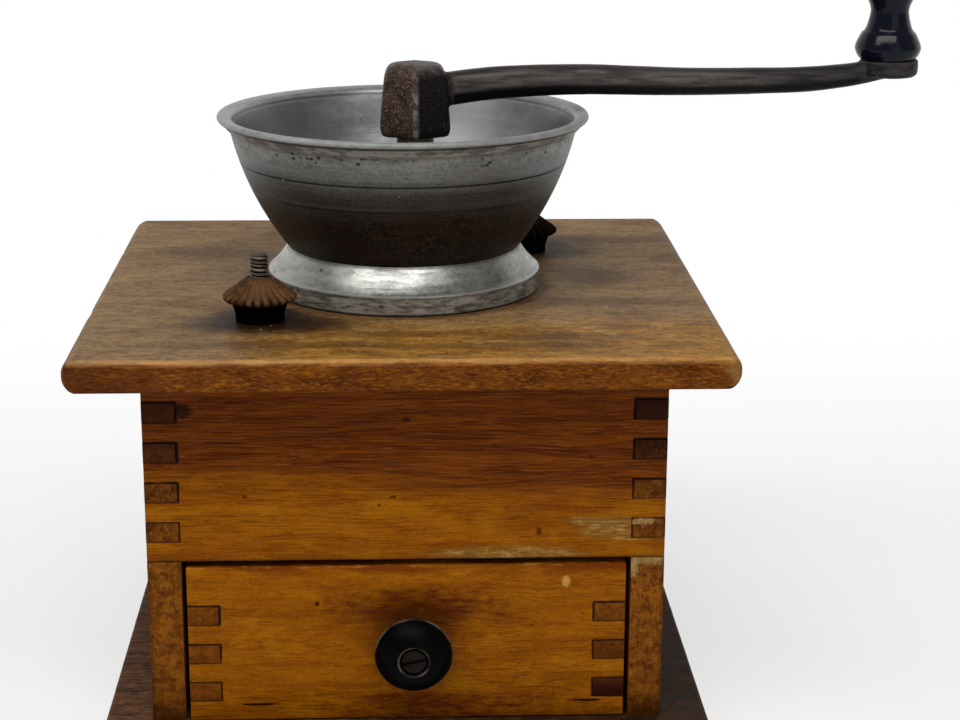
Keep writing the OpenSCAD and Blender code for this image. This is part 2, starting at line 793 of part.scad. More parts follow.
module spindle() {
    color([0.4, 0.37, 0.35])
        on_axis()
            difference() {
                union() {
                    translate([0, 0, toe_end]) cylinder(d = toe_d, h = cone_z - toe_end);
                    translate([0, 0, cone_z]) cylinder(d = spindle_d, h = hub_z - cone_z);
                    translate([-square_w / 2, -square_w / 2, hub_z])
                        cube([square_w, square_w, socket_h - end_room]);
                }
                translate([0, 0, cone_z + cone_h - cone_pin_drop]) rotate([0, 90, 0])
                    cylinder(d = cone_pin_d + 2 * joint_slack, h = 2 * spindle_d, center = true);
            }
}

// Ring of a six-sided section with rounded corners, flats towards +X and -X
function hub_ring(z, flat_r) = [for (i = [0:35])
    let (a = 10 * i, r = flat_r / pow(hub_sum(a), 1 / hub_edge))
    [r * cos(a), r * sin(a), z]];
function hub_sum(a) =
    pow(abs(cos(a)), hub_edge) + pow(abs(cos(a - 60)), hub_edge) + pow(abs(cos(a + 60)), hub_edge);

// Cast section of the arm: rounded back, upright flanks, lower third drawn in below the parting line
function arm_ring(x, z, w, t) = [for (p = [[-0.3, -0.5], [0.3, -0.5], [0.5, -0.14], [0.5, 0.24],
        [0.36, 0.44], [0.12, 0.5], [-0.12, 0.5], [-0.36, 0.44], [-0.5, 0.24], [-0.5, -0.14]])
    [x, p[0] * w, z + p[1] * t]];

module crank_hub() {
    flat = hub_w / 2;
    loft([for (p = [[0, 0.86], [0.02, 0.945], [0.08, 0.99], [0.18, 1], [0.73, 0.9], [0.87, 0.84],
        [0.94, 0.76], [0.98, 0.63], [1, 0.45]]) hub_ring(hub_z + p[0] * hub_h, flat * p[1])]);
}

module crank_lever() {
    path = spline(arm_path, 5);
    last = len(path) - 1;
    loft([for (i = [0:last])
        let (w = arm_root_w + (arm_tip_w - arm_root_w) * i / last,
            t = arm_root_t + (arm_tip_t - arm_root_t) * i / last)
        arm_ring(path[i][0], path[i][1], w, t)]);
}

module crank_arm() {
    r = arm_pad_d / 2;
    socket_w = square_w + 2 * joint_slack;
    color([0.17, 0.13, 0.11])
        on_axis()
            difference() {
                union() {
                    crank_hub();
                    crank_lever();
                    translate([reach + arm_pad_x, 0, pad_z]) rotate_extrude() polygon([[0, 0], [0.86 * r, 0],
                        [0.97 * r, 0.15 * arm_pad_t], [r, 0.35 * arm_pad_t], [r, 0.9 * arm_pad_t],
                        [0.95 * r, arm_pad_t], [0, arm_pad_t]]);
                }
                translate([-socket_w / 2, -socket_w / 2, hub_z - past])
                    cube([socket_w, socket_w, socket_h + past]);
                translate([reach, 0, pad_z - arm_pad_t])
                    cylinder(d = pin_d + 2 * joint_slack, h = 3 * arm_pad_t);
            }
}

module at_knob(z) {
    on_deck(z) translate([knob_x, 0, 0]) children();
}

// Turned knob: collar, neck and bulb
module crank_knob() {
    collar = knob_collar_d / 2;
    neck = knob_neck_d / 2;
    bulb = knob_d / 2;
    outline = [[0.87 * collar, 0], [0.97 * collar, 0.035], [collar, 0.08], [0.84 * collar, 0.156],
        [1.18 * neck, 0.196], [neck, 0.285], [1.02 * neck, 0.33], [1.17 * neck, 0.375],
        [0.8 * bulb, 0.5], [bulb, 0.7], [0.88 * bulb, 0.88], [0.62 * bulb, 0.98], [knob_flat_r, 1]];
    profile = spline([for (p = outline) [p[0], p[1] * knob_h]], 3);
    color([0.07, 0.07, 0.09])
        at_knob(knob_z)
            difference() {
                rotate_extrude() polygon(concat([[0, 0]], profile, [[0, knob_h]]));
                translate([0, 0, -past]) cylinder(d = pin_d + 2 * play, h = knob_h + 2 * past);
            }
}

module knob_washer() {
    color([0.4, 0.38, 0.35])
        at_knob(knob_z + knob_h + knob_gap)
            difference() {
                cylinder(r = knob_flat_r, h = washer_t);
                translate([0, 0, -past]) cylinder(d = pin_d + 2 * joint_slack, h = washer_t + 2 * past);
            }
}

// Pin riveted into the arm's pad, with a domed head over the washer
module knob_pin() {
    head_z = knob_z + knob_h + knob_gap + washer_t;
    color([0.4, 0.38, 0.35]) {
        at_knob(pad_z + head_sink) cylinder(d = pin_d, h = head_z - pad_z - head_sink);
        at_knob(head_z) dome(0.8 * knob_flat_r);
    }
}

module drawer_corners(h, y) {
    for (x = [-drawer_w / 2, drawer_w / 2 - drawer_wall])
        translate([x, y, drawer_z]) finger_posts(h, [drawer_wall, drawer_wall]);
}

// Panel that slides in the grooves, with its corners cut away; slack widens it into the grooves' cut
module floor_shape(slack) {
    edge = 2 * (groove + slack);
    t = drawer_floor_t + 2 * slack;
    translate([0, drawer_y + drawer_d / 2, drawer_z + drawer_floor_z + drawer_floor_t / 2]) {
        cube([drawer_in_w + edge, drawer_in_d, t], center = true);
        cube([drawer_in_w, drawer_in_d + edge, t], center = true);
    }
}

module drawer_front() {
    color([0.68, 0.4, 0.12])
        difference() {
            translate([-drawer_w / 2, drawer_y, drawer_z]) cube([drawer_w, drawer_wall, drawer_h]);
            drawer_corners(drawer_h, drawer_y);
            floor_shape(joint_slack);
            at_pull() translate([0, 0, -pull_screw_grip - joint_slack])
                cylinder(d = pull_screw_d + 2 * joint_slack, h = pull_screw_grip + past);
        }
}

module drawer_back() {
    y = drawer_y + drawer_d - drawer_wall;
    color([0.6, 0.38, 0.16])
        difference() {
            translate([-drawer_w / 2, y, drawer_z]) cube([drawer_w, drawer_wall, drawer_back_h]);
            drawer_corners(drawer_back_h, y);
            floor_shape(joint_slack);
        }
}

module drawer_side(side) {
    difference() {
        translate([side * (drawer_w - drawer_wall) / 2 - drawer_wall / 2, drawer_y, drawer_z]) {
            difference() {
                cube([drawer_wall, drawer_d, drawer_h]);
                translate([-past, -past, -past])
                    cube([drawer_wall + 2 * past, drawer_wall + past, drawer_h + 2 * past]);
                translate([-past, drawer_d - drawer_wall, -past])
                    cube([drawer_wall + 2 * past, drawer_wall + past, drawer_back_h + past]);
            }
            finger_posts(drawer_h, [drawer_wall, drawer_wall]);
            translate([0, drawer_d - drawer_wall, 0])
                finger_posts(drawer_back_h, [drawer_wall, drawer_wall]);
        }
        floor_shape(joint_slack);
    }
}

module drawer_left() {
    color([0.6, 0.38, 0.16]) drawer_side(-1);
}

module drawer_right() {
    color([0.6, 0.38, 0.16]) drawer_side(1);
}

module drawer_floor() {
    color([0.55, 0.4, 0.25]) floor_shape(0);
}

// Place of the knob on the drawer's face, with +Z pointing out of the drawer
module at_pull() {
    translate([pull_x, drawer_y, pull_z]) rotate([90, 0, 0]) children();
}

// Domed knob with a recess for its screw
module drawer_knob() {
    r = pull_d / 2;
    neck = pull_neck_d / 2;
    recess_r = pull_screw_head_d / 2 + pass_room;
    shank_r = pull_screw_d / 2 + joint_slack;
    brim = 0.65 * pull_l;
    color([0.06, 0.06, 0.06])
        at_pull()
            rotate_extrude() polygon(concat(
                [[shank_r, 0], [1.2 * neck, 0], [neck, 0.09 * pull_l], [neck, 0.21 * pull_l],
                    [1.23 * neck, 0.33 * pull_l], [0.91 * r, brim - 0.15 * pull_l]],
                arc_points([r, brim - 0.04 * pull_l], [1.12 * recess_r, pull_l], 1.09 * r, 8),
                [[recess_r, 0.97 * pull_l], [recess_r, pull_l - pull_screw_sink],
                    [shank_r, pull_l - pull_screw_sink]]));
}

module drawer_knob_screw() {
    head_t = 2;
    slot_w = 1.1;
    slot_tilt = 12;
    color([0.35, 0.3, 0.25])
        at_pull() {
            translate([0, 0, pull_l - pull_screw_sink])
                difference() {
                    cylinder(d = pull_screw_head_d, h = head_t);
                    rotate(slot_tilt) translate([-pull_screw_head_d, -slot_w / 2, head_t / 2])
                        cube([2 * pull_screw_head_d, slot_w, head_t]);
                }
            translate([0, 0, -pull_screw_grip])
                cylinder(d = pull_screw_d, h = pull_screw_grip + pull_l - pull_screw_sink);
        }
}

base_board();
left_side();
right_side();
front_rail();
back_panel();
top_board();
glue_blocks();
base_screws();
hopper_foot();
hopper_bowl();
hopper_screws();
burr_housing();
ring_burr();
top_bridge();
clamp_bolt_front();
clamp_bolt_rear();
clamp_nut_front();
clamp_nut_rear();
step_bar();
step_bar_screws();
thrust_pad();
regulating_screw();
spindle();
cone_burr();
cone_pin();
crank_arm();
knob_pin();
knob_washer();
crank_knob();
drawer_front();
drawer_left();
drawer_right();
drawer_back();
drawer_floor();
drawer_knob();
drawer_knob_screw();
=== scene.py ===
"""Looks of a hand-cranked box coffee mill: worn woods, pewter, rusty castings and black paint.

Metres throughout, in the part's own frame: origin under the base, +Z up, the drawer opens towards -Y.
"""
import math

import bmesh
import bpy
from mathutils import Matrix, Vector, noise


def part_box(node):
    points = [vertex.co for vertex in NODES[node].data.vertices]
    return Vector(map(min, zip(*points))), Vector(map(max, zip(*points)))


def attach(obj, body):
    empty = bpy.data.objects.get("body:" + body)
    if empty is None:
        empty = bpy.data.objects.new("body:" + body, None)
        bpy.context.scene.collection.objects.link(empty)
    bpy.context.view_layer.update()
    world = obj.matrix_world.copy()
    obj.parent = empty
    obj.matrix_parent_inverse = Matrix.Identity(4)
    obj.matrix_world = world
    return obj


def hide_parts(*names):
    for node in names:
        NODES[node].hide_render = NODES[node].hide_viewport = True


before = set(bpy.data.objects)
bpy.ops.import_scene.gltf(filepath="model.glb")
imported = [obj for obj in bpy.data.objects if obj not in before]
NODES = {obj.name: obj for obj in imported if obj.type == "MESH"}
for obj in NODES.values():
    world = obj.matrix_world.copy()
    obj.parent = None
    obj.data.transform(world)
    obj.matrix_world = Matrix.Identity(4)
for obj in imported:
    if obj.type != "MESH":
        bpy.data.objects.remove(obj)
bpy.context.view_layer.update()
MM = 0.001


def middle(node):
    """Centre of a CAD node's box."""
    low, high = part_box(node)
    return (low + high) / 2


# Places read from the frame
TOP_LOW, TOP_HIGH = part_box("top_board")
BASE_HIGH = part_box("base_board")[1]
RAIL_LOW, RAIL_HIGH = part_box("front_rail")
BACK_LOW, BACK_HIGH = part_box("back_panel")
FRONT_LOW, FRONT_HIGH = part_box("drawer_front")
PULL_LOW, PULL_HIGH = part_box("drawer_knob")
KNOB_LOW, KNOB_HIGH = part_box("crank_knob")
DECK = TOP_HIGH.z
WALL = RAIL_HIGH.y - RAIL_LOW.y
DRAWER_WALL = FRONT_HIGH.y - FRONT_LOW.y
MILL, GRIND, KNOB, PULL = (middle(n) for n in ("hopper_foot", "spindle", "crank_knob", "drawer_knob"))
RIM_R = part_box("hopper_bowl")[1].x - MILL.x
FOOT_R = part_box("hopper_foot")[1].x - MILL.x
BOLTS = {"front": middle("clamp_nut_front"), "rear": middle("clamp_nut_rear")}
STUD_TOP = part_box("clamp_bolt_front")[1].z

# Sizes of the joints and of the hopper's wall
FINGER = 6.1 * MM
JOINT_LINE = 0.16 * MM
FOOT_H, SHEET, WAIST = 13.8 * MM, 1.8 * MM, 36.4 * MM
LIP_Z, UNDER_LIP, BOWL_CURVE = 49.7 * MM, 53.7 * MM, 90.5 * MM
SCRIBES = (32.6 * MM, 40.7 * MM)


def tint(red, green, blue):
    """Display colour, 0 to 255, as the linear colour that a shader takes."""
    def linear(level):
        level /= 255
        return level / 12.92 if level <= 0.04045 else ((level + 0.055) / 1.055) ** 2.4
    return (linear(red), linear(green), linear(blue), 1)


def operator(operation, swapped=False):
    """Method of a wire that adds a Math node for the wire and another value."""
    def apply(wire, other):
        return wire.math(operation, other, wire) if swapped else wire.math(operation, wire, other)
    return apply


class Wire:
    """One output of a shader tree; arithmetic on wires adds Math nodes."""

    def __init__(self, socket):
        self.socket = socket
        self.tree = socket.id_data

    def math(self, operation, *values):
        return add_node(self.tree, "ShaderNodeMath", {"operation": operation}, dict(enumerate(values)))

    __add__ = __radd__ = operator("ADD")
    __sub__, __rsub__ = operator("SUBTRACT"), operator("SUBTRACT", swapped=True)
    __mul__ = __rmul__ = operator("MULTIPLY")
    __truediv__, __mod__, __pow__ = operator("DIVIDE"), operator("MODULO"), operator("POWER")
    least, most, over = operator("MINIMUM"), operator("MAXIMUM"), operator("GREATER_THAN")

    def __abs__(self):
        return self.math("ABSOLUTE", self)

    def rise(self, low, high):
        """0 below low, 1 above high, smooth between; falls when low is the larger."""
        flip = low > high
        return add_node(self.tree, "ShaderNodeMapRange", {"interpolation_type": "SMOOTHSTEP"},
                        {0: self, 1: min(low, high), 2: max(low, high), 3: float(flip), 4: float(not flip)})

    def rise_mm(self, low, high, base=0):
        """The same for a length, with low and high in millimetres from a base."""
        return self.rise(base + low * MM, base + high * MM)


def add_node(tree, kind, settings=None, sockets=None, out=0):
    """Adds a node: its settings first, then a value or a wire for each socket, by name or place."""
    node = tree.nodes.new(kind)
    for key, value in (settings or {}).items():
        setattr(node, key, value)
    for key, value in (sockets or {}).items():
        if isinstance(value, Wire):
            tree.links.new(value.socket, node.inputs[key])
        else:
            node.inputs[key].default_value = value
    return Wire(node.outputs[out])


class Finish:
    """A node material on Object coordinates with one Principled shader."""

    def __init__(self, name, **constants):
        self.material = bpy.data.materials.new(name)
        self.material.use_nodes = True
        self.tree = self.material.node_tree
        self.shader = self.tree.nodes["Principled BSDF"]
        for key, value in constants.items():
            self.shader.inputs[key.replace("_", " ").title().replace("Ior", "IOR")].default_value = value
        self.place = self.node("ShaderNodeTexCoord", out="Object")
        split = self.node("ShaderNodeSeparateXYZ", {}, {0: self.place})
        self.x, self.y, self.z = (Wire(split.socket.node.outputs[i]) for i in range(3))

    def node(self, kind, settings=None, sockets=None, out=0):
        return add_node(self.tree, kind, settings, sockets, out)

    def vector(self, operation, *values):
        return self.node("ShaderNodeVectorMath", {"operation": operation}, dict(enumerate(values)))

    def noise(self, size, stretch=(1, 1, 1), detail=3, grain=0.5, shift=0.0, place=None, out=0):
        """Noise with patches about `size` millimetres across, drawn out along each axis by `stretch`."""
        spot = self.vector("MULTIPLY", place or self.place, [1 / (size * MM * s) for s in stretch])
        spot = self.vector("ADD", spot, (shift, 1.7 * shift, -0.6 * shift))
        return self.node("ShaderNodeTexNoise", {}, {"Vector": spot, "Scale": 1.0, "Detail": detail,
                                                    "Roughness": grain}, out)

    def cells(self, size, stretch=(1, 1, 1), shift=0.0):
        """Distance to scattered points about `size` millimetres apart, in shares of that size."""
        spot = self.vector("MULTIPLY", self.place, [1 / (size * MM * s) for s in stretch])
        spot = self.vector("ADD", spot, (shift, shift, shift))
        return self.node("ShaderNodeTexVoronoi", {}, {"Vector": spot, "Scale": 1.0, "Randomness": 1.0})

    def mix(self, share, first, second):
        """Colour between two colours, each a wire or display levels."""
        first, second = (c if isinstance(c, Wire) else tint(*c) for c in (first, second))
        return self.node("ShaderNodeMix", {"data_type": "RGBA"}, {0: share, 6: first, 7: second}, out=2)

    def stain(self, mask, colour):
        """Lays a colour over the finish, as far as the mask says."""
        self.colour = self.mix(mask, self.colour, colour)

    def spot(self, centre, radii, ragged=0.5, size=None, soft=0.6):
        """1 inside a ragged ellipsoid of `radii` millimetres, falling to 0 outside it."""
        offset = self.vector("SUBTRACT", self.place, centre)
        reach = self.vector("LENGTH", self.vector("DIVIDE", offset, [r * MM for r in radii]))
        reach = Wire(reach.socket.node.outputs["Value"])
        fray = self.noise(size or min(radii), detail=3, shift=sum(centre) * 90) - 0.5
        return (reach + fray * (2 * ragged)).rise(1 + soft / 2, 1 - soft / 2)

    def close(self, roughness, bumps=(), **varying):
        """Feeds the shader: the colour, roughness, heights with their depths, and other inputs."""
        wires = {"Base Color": self.colour, "Roughness": roughness}
        wires.update({key.replace("_", " ").title(): wire for key, wire in varying.items()})
        normal = None
        for height, depth in bumps:
            sockets = {"Height": height, "Distance": depth, "Strength": 1.0}
            if normal:
                sockets["Normal"] = normal
            normal = self.node("ShaderNodeBump", {}, sockets)
        if normal:
            wires["Normal"] = normal
        for key, wire in wires.items():
            if isinstance(wire, Wire):
                self.tree.links.new(wire.socket, self.shader.inputs[key])
            else:
                self.shader.inputs[key].default_value = wire
        return self.material


class Plank(Finish):
    """Board: slow tones, fibres drawn out along one axis, thin dark lines and pores."""

    def __init__(self, name, along, pale, deep, line, shift, run=45, lined=0.7, **constants):
        super().__init__(name, **{"Specular_Ior_Level": 0.05, **constants})

        def drawn(share):
            stretch = [1, 1, 1]
            stretch["xyz".index(along)] = run * share
            return stretch

        wander = self.noise(16, drawn(0.08), 3, shift=shift + 3, out=1)
        sway = self.vector("MULTIPLY", self.vector("SUBTRACT", wander, (0.5, 0.5, 0.5)), [4.5 * MM] * 3)
        self.path = path = self.vector("ADD", self.place, sway)
        broad = self.noise(3, drawn(0.5), 3, shift=shift, place=path)
        fine = self.noise(0.42, drawn(0.55), 3, 0.65, shift=shift + 11, place=path)
        self.slow = self.noise(22, drawn(0.1), 3, shift=shift + 5)
        self.tone = broad * 0.45 + fine * 0.55
        needle = self.noise(0.55, drawn(0.9), 2, shift=shift + 7, place=path)
        self.hair = needle.rise(0.57, 0.66) * self.slow.rise(0.3, 0.55)
        pores = self.noise(0.26, drawn(0.12), 2, shift=shift + 9, place=path)
        self.pores = pores.rise(0.6, 0.7)
        self.colour = self.mix(self.tone.rise(0.38, 0.62), deep, pale)
        self.stain(self.hair * lined, line)
        self.stain(self.pores * 0.42, line)

    def varnish(self, roughness=0.42, relief=1.0, **varying):
        """Closes the finish, with the grain in gloss and relief."""
        rough = roughness + (self.tone - 0.5) * 0.16 + self.pores * 0.2
        ridges = self.tone * 0.5 - self.pores * 0.6 - self.hair * 0.6
        return self.close(rough, [(ridges, 0.16 * MM * relief)], **varying)


def joint_dirt(finish, foot, count, root):
    """Dark lines round the fingers of a corner joint that stands on `foot` and is `root` from the middle."""
    side = abs(finish.x)
    step = (finish.z - foot) / FINGER
    nearest = step.math("ROUND", step)
    gap = abs(step - nearest) * FINGER
    uneven = finish.noise(5, detail=2, shift=2.0) * (3.4 * JOINT_LINE) * (0.6 + step.rise(2, 6) * 0.4)
    level = (gap - uneven).rise(JOINT_LINE, 0) * side.over(root - JOINT_LINE) * (1 - nearest % 2 * 0.45)
    upright = (abs(side - root) - uneven * 1.3).rise(JOINT_LINE, 0) * (step % 2).over(1)
    inside = step.rise(0.8, 0.95) * step.rise(count + 0.2, count + 0.05)
    return level.most(upright) * inside


def rail_joint(finish, share):
    """Dirt in the joints of the front rail, blacker towards the top board."""
    grime = finish.mix(finish.z.rise_mm(14, 30, RAIL_LOW.z), (46, 15, 7), (12, 6, 5))
    finish.stain(joint_dirt(finish, RAIL_LOW.z, 8, RAIL_HIGH.x - WALL) * share, grime)


def radius_of(finish, centre=MILL):
    """Distance from an upright axis."""
    return ((finish.x - centre.x) ** 2 + (finish.y - centre.y) ** 2) ** 0.5


def on_face(low, x, z):
    """Place on a front face: millimetres from the middle and up from the face's low corner."""
    return (x * MM, low.y, low.z + z * MM)


def smooth_mesh(mesh, angle=35):
    """Smooth shading with creases where faces meet at more than `angle` degrees."""
    mesh.polygons.foreach_set("use_smooth", [True] * len(mesh.polygons))
    mesh.set_sharp_from_angle(angle=math.radians(angle))


def put(name, data):
    """New object in the scene."""
    obj = bpy.data.objects.new(name, data)
    bpy.context.scene.collection.objects.link(obj)
    return obj


def add_piece(name, mesh, body, slot, material, *nodes):
    """A finished mesh as a piece that rides on a body and stands for CAD nodes."""
    obj = put(name, mesh)
    mesh.materials.clear()
    mesh.materials.append(material)
    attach(obj, body)
    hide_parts(*nodes)
    return obj


def to_mesh(bm, name):
    """New mesh from a bmesh, which is used up."""
    mesh = bpy.data.meshes.new(name)
    bm.to_mesh(mesh)
    bm.free()
    return mesh


def mesh_from(bm, name, angle=35):
    """The same with outward faces and smooth shading."""
    bmesh.ops.recalc_face_normals(bm, faces=bm.faces)
    mesh = to_mesh(bm, name)
    smooth_mesh(mesh, angle)
    return mesh


def modified(obj):
    """Bmesh of an object as its modifiers leave it."""
    bm = bmesh.new()
    bm.from_mesh(obj.evaluated_get(bpy.context.evaluated_depsgraph_get()).to_mesh())
    return bm


def dress(node, material):
    """Puts a finish on a CAD node as it is."""
    mesh = NODES[node].data
    mesh.materials.clear()
    mesh.materials.append(material)


def eased(node, ease, body, slot, material):
    """Flat-sided CAD node with its edges eased by hand tools and wear."""
    bm = bmesh.new()
    bm.from_mesh(NODES[node].data)
    bmesh.ops.remove_doubles(bm, verts=bm.verts, dist=1e-6)
    bmesh.ops.dissolve_limit(bm, angle_limit=math.radians(2), verts=bm.verts, edges=bm.edges)
    sharp = [e for e in bm.edges if len(e.link_faces) == 2 and e.calc_face_angle(0) > math.radians(40)]
    bmesh.ops.bevel(bm, geom=sharp, offset=ease, segments=2, profile=0.5, affect="EDGES", clamp_overlap=True)
    return add_piece("eased_" + node, mesh_from(bm, node), body, slot, material, node)


def spline(points, per_span):
    """Smooth line through points of any dimension."""
    line = []
    ends = [points[0]] + list(points) + [points[-1]]
    for i in range(len(points) - 1):
        a, b, c, d = (Vector(p) for p in ends[i:i + 4])
        for k in range(per_span):
            t = k / per_span
            line.append(0.5 * (2 * b + (c - a) * t + (2 * a - 5 * b + 4 * c - d) * t ** 2
                               + (3 * b - 3 * c + d - a) * t ** 3))
    return line + [Vector(points[-1])]


def arc_centre(start, end, radius):
    """Centre of the arc from start to end that bulges to the right of that direction."""
    along = (end - start).normalized()
    half = (end - start).length / 2
    return (start + end) / 2 + Vector((-along.y, along.x)) * math.sqrt(radius ** 2 - half ** 2)


def arc(start, end, radius, count):
    """Points of that arc, as (radius, height)."""
    start, end = Vector(start), Vector(end)
    centre = arc_centre(start, end, radius)
    first = math.atan2(start.y - centre.y, start.x - centre.x)
    sweep = 2 * math.asin((end - start).length / 2 / radius)
    return [centre + radius * Vector((math.cos(first + sweep * i / count), math.sin(first + sweep * i / count)))
            for i in range(count + 1)]


def skin(bm, loops, closed=False):
    """Faces between each loop of vertices and the next, and back to the first if closed."""
    count = len(loops[0])
    for a, b in zip(loops, loops[1:] + (loops[:1] if closed else [])):
        for i in range(count):
            j = (i + 1) % count
            corners = list(dict.fromkeys((a[i], a[j], b[j], b[i])))
            if len(corners) > 2:
                bm.faces.new(corners)


def loft(bm, rings):
    """Closed solid through rings of points."""
    loops = [[bm.verts.new(p) for p in ring] for ring in rings]
    skin(bm, loops)
    bm.faces.new(loops[0])
    bm.faces.new(loops[-1])


def lathe(rings, steps, closed, warp=None):
    """Turned solid from rings of (radius, height[, centre x]); a closed line makes a hollow shell."""
    bm = bmesh.new()
    loops = []
    for ring in rings:
        radius, height = ring[0], ring[1]
        centre = ring[2] if len(ring) > 2 else 0
        if radius < 1e-6:
            loops.append([bm.verts.new((centre, 0, height))] * steps)
            continue
        loop = []
        for i in range(steps):
            angle = 2 * math.pi * i / steps
            reach = radius + (warp(angle, height) if warp else 0)
            loop.append(bm.verts.new((centre + reach * math.cos(angle), reach * math.sin(angle), height)))
        loops.append(loop)
    skin(bm, loops, closed)
    return bm


def cut(bm, cutter, name):
    """Takes one closed bmesh away from another and gives the rest back."""
    pair = []
    for part, label in ((bm, name), (cutter, name + "_cutter")):
        bmesh.ops.recalc_face_normals(part, faces=part.faces)
        pair.append(put(label, to_mesh(part, label)))
    boolean = pair[0].modifiers.new("cut", "BOOLEAN")
    boolean.operation = "DIFFERENCE"
    boolean.object = pair[1]
    rest = modified(pair[0])
    for obj in pair:
        mesh = obj.data
        bpy.data.objects.remove(obj)
        bpy.data.meshes.remove(mesh)
    return rest


# Finishes

def top_wood():
    """Brown board greyed by handling, amber in front of the hopper, orange on its edges, with dark stains and
    painted contact shadow round the nuts and the hopper's foot, and a pale front arris that is worn wood and a
    painted highlight.
    """
    f = Plank("top_wood", "x", (152, 122, 84), (118, 90, 58), (58, 38, 22), 4.0, run=8, lined=0.4)
    ragged = f.noise(20, (3, 1, 1), 2, shift=8) * (26 * MM)
    front = (f.y + ragged).rise_mm(-22, -54) * f.x.rise_mm(-60, -24)
    f.stain(front * 0.85, f.mix(f.tone.rise(0.4, 0.6), (124, 78, 22), (178, 128, 46)))
    cloud = f.noise(15, (1.8, 1, 1), 4, 0.6, shift=44)
    f.stain(cloud.rise(0.5, 0.66) * 0.5, (92, 60, 28))
    f.stain(cloud.rise(0.46, 0.36) * 0.35, (166, 134, 84))
    dirt = f.noise(1.5, (1.5, 1, 1), 4, 0.75, shift=48)
    f.stain(dirt.rise(0.52, 0.66) * 0.6, (68, 45, 24))
    f.stain(dirt.rise(0.44, 0.32) * 0.4, (184, 150, 104))
    for x, y, wide, deep in ((-42, -77, 34, 4), (20, -79, 40, 3), (-6, -66, 26, 3), (58, -30, 30, 5),
                             (66, 58, 34, 6), (48, -70, 22, 4), (60, 4, 12, 14), (-66, 40, 18, 9)):
        streak = f.spot((x * MM, y * MM, DECK), (wide, deep, 9), 0.7, 3, 1.2)
        f.stain(streak * 0.5, (66, 40, 20))
    # dark varnish stain and painted contact shadow round each nut
    for spot in BOLTS.values():
        f.stain(f.spot((spot.x, spot.y, DECK), (19, 15, 9), 0.6, 6, 1.1) * 0.85, (42, 25, 15))
    # dark smear and painted contact shadow beside the front nut's base
    smear_and_shadow = (BOLTS["front"].x + 5 * MM, BOLTS["front"].y - 6 * MM, DECK)
    f.stain(f.spot(smear_and_shadow, (25, 9, 9), 0.5, 5, 1.1) * 0.85, (30, 17, 9))
    # painted contact shadow: a dark ring on the board round the hopper's foot
    ring = abs(radius_of(f) - FOOT_R) - f.noise(9, detail=3) * (5 * MM)
    f.stain(ring.rise_mm(2.5, -1.5) * 0.6, (60, 34, 14))
    for x, y in ((53.5, -60.4), (56.8, -64), (60, -67.4)):
        scratch = f.spot((x * MM, y * MM, DECK), (2.2, 1.5, 9), 0.8, 0.8)
        f.stain(scratch * 0.45, (190, 152, 104))
    front_face = f.y.rise_mm(2, 1, TOP_LOW.y)
    face = f.z.rise_mm(-0.6, -1.2, DECK) * front_face
    side_face = f.z.rise_mm(-1.2, -3, DECK)
    f.stain(side_face.most(face) * 0.95, (104, 52, 8))
    blotch = f.noise(3.4, (3, 1, 1), 4, 0.65, shift=21)
    strokes = f.noise(0.62, (3.5, 1, 1), 3, 0.7, shift=23)
    f.stain(face * blotch.rise(0.5, 0.66) * 0.7, (64, 27, 6))
    f.stain(face * blotch.rise(0.46, 0.34) * 0.6, (144, 86, 14))
    f.stain(face * strokes.rise(0.5, 0.64) * 0.65, (60, 26, 6))
    f.stain(face * strokes.rise(0.46, 0.34) * 0.5, (158, 100, 22))
    f.stain(face * f.x.rise(-60 * MM, TOP_LOW.x) * 0.6, (56, 20, 8))
    # pale line along the front arris: worn wood and a painted highlight
    edge = ((f.y - TOP_LOW.y) ** 2 + (f.z - DECK) ** 2) ** 0.5
    worn = f.noise(2.6, (5, 1, 1), 4, 0.65, shift=31).rise(0.4, 0.6)
    f.stain(edge.rise_mm(2.2, 0.6) * (0.2 + worn * 0.55), (196, 142, 86))
    f.stain(face * f.spot((TOP_HIGH.x, TOP_LOW.y, DECK - 4 * MM), (5, 9, 5)) * 0.5, (160, 118, 66))
    nicks = f.cells(17, (1.6, 1, 1), 3.0).rise(0.075, 0.03) * f.noise(40, shift=6).rise(0.45, 0.6)
    f.stain(nicks * 0.8, (44, 26, 14))
    specks = f.cells(5, (1, 1, 1), 9.0).rise(0.085, 0.035) * (1 - face)
    f.stain(specks * 0.7, (204, 174, 130))
    return f.varnish(0.5)


def base_wood():
    """Dark brown board."""
    f = Plank("base_wood", "x", (116, 74, 44), (62, 38, 22), (24, 13, 8), 17.0, run=14)
    patch = f.noise(2.4, (2.2, 1, 1), 4, 0.7, shift=19)
    f.stain(patch.rise(0.5, 0.64) * 0.75, (38, 23, 15))
    f.stain(patch.rise(0.46, 0.34) * 0.5, (128, 88, 56))
    f.stain(f.x.rise_mm(-40, 70) * 0.74, (18, 11, 6))
    return f.varnish(0.55)


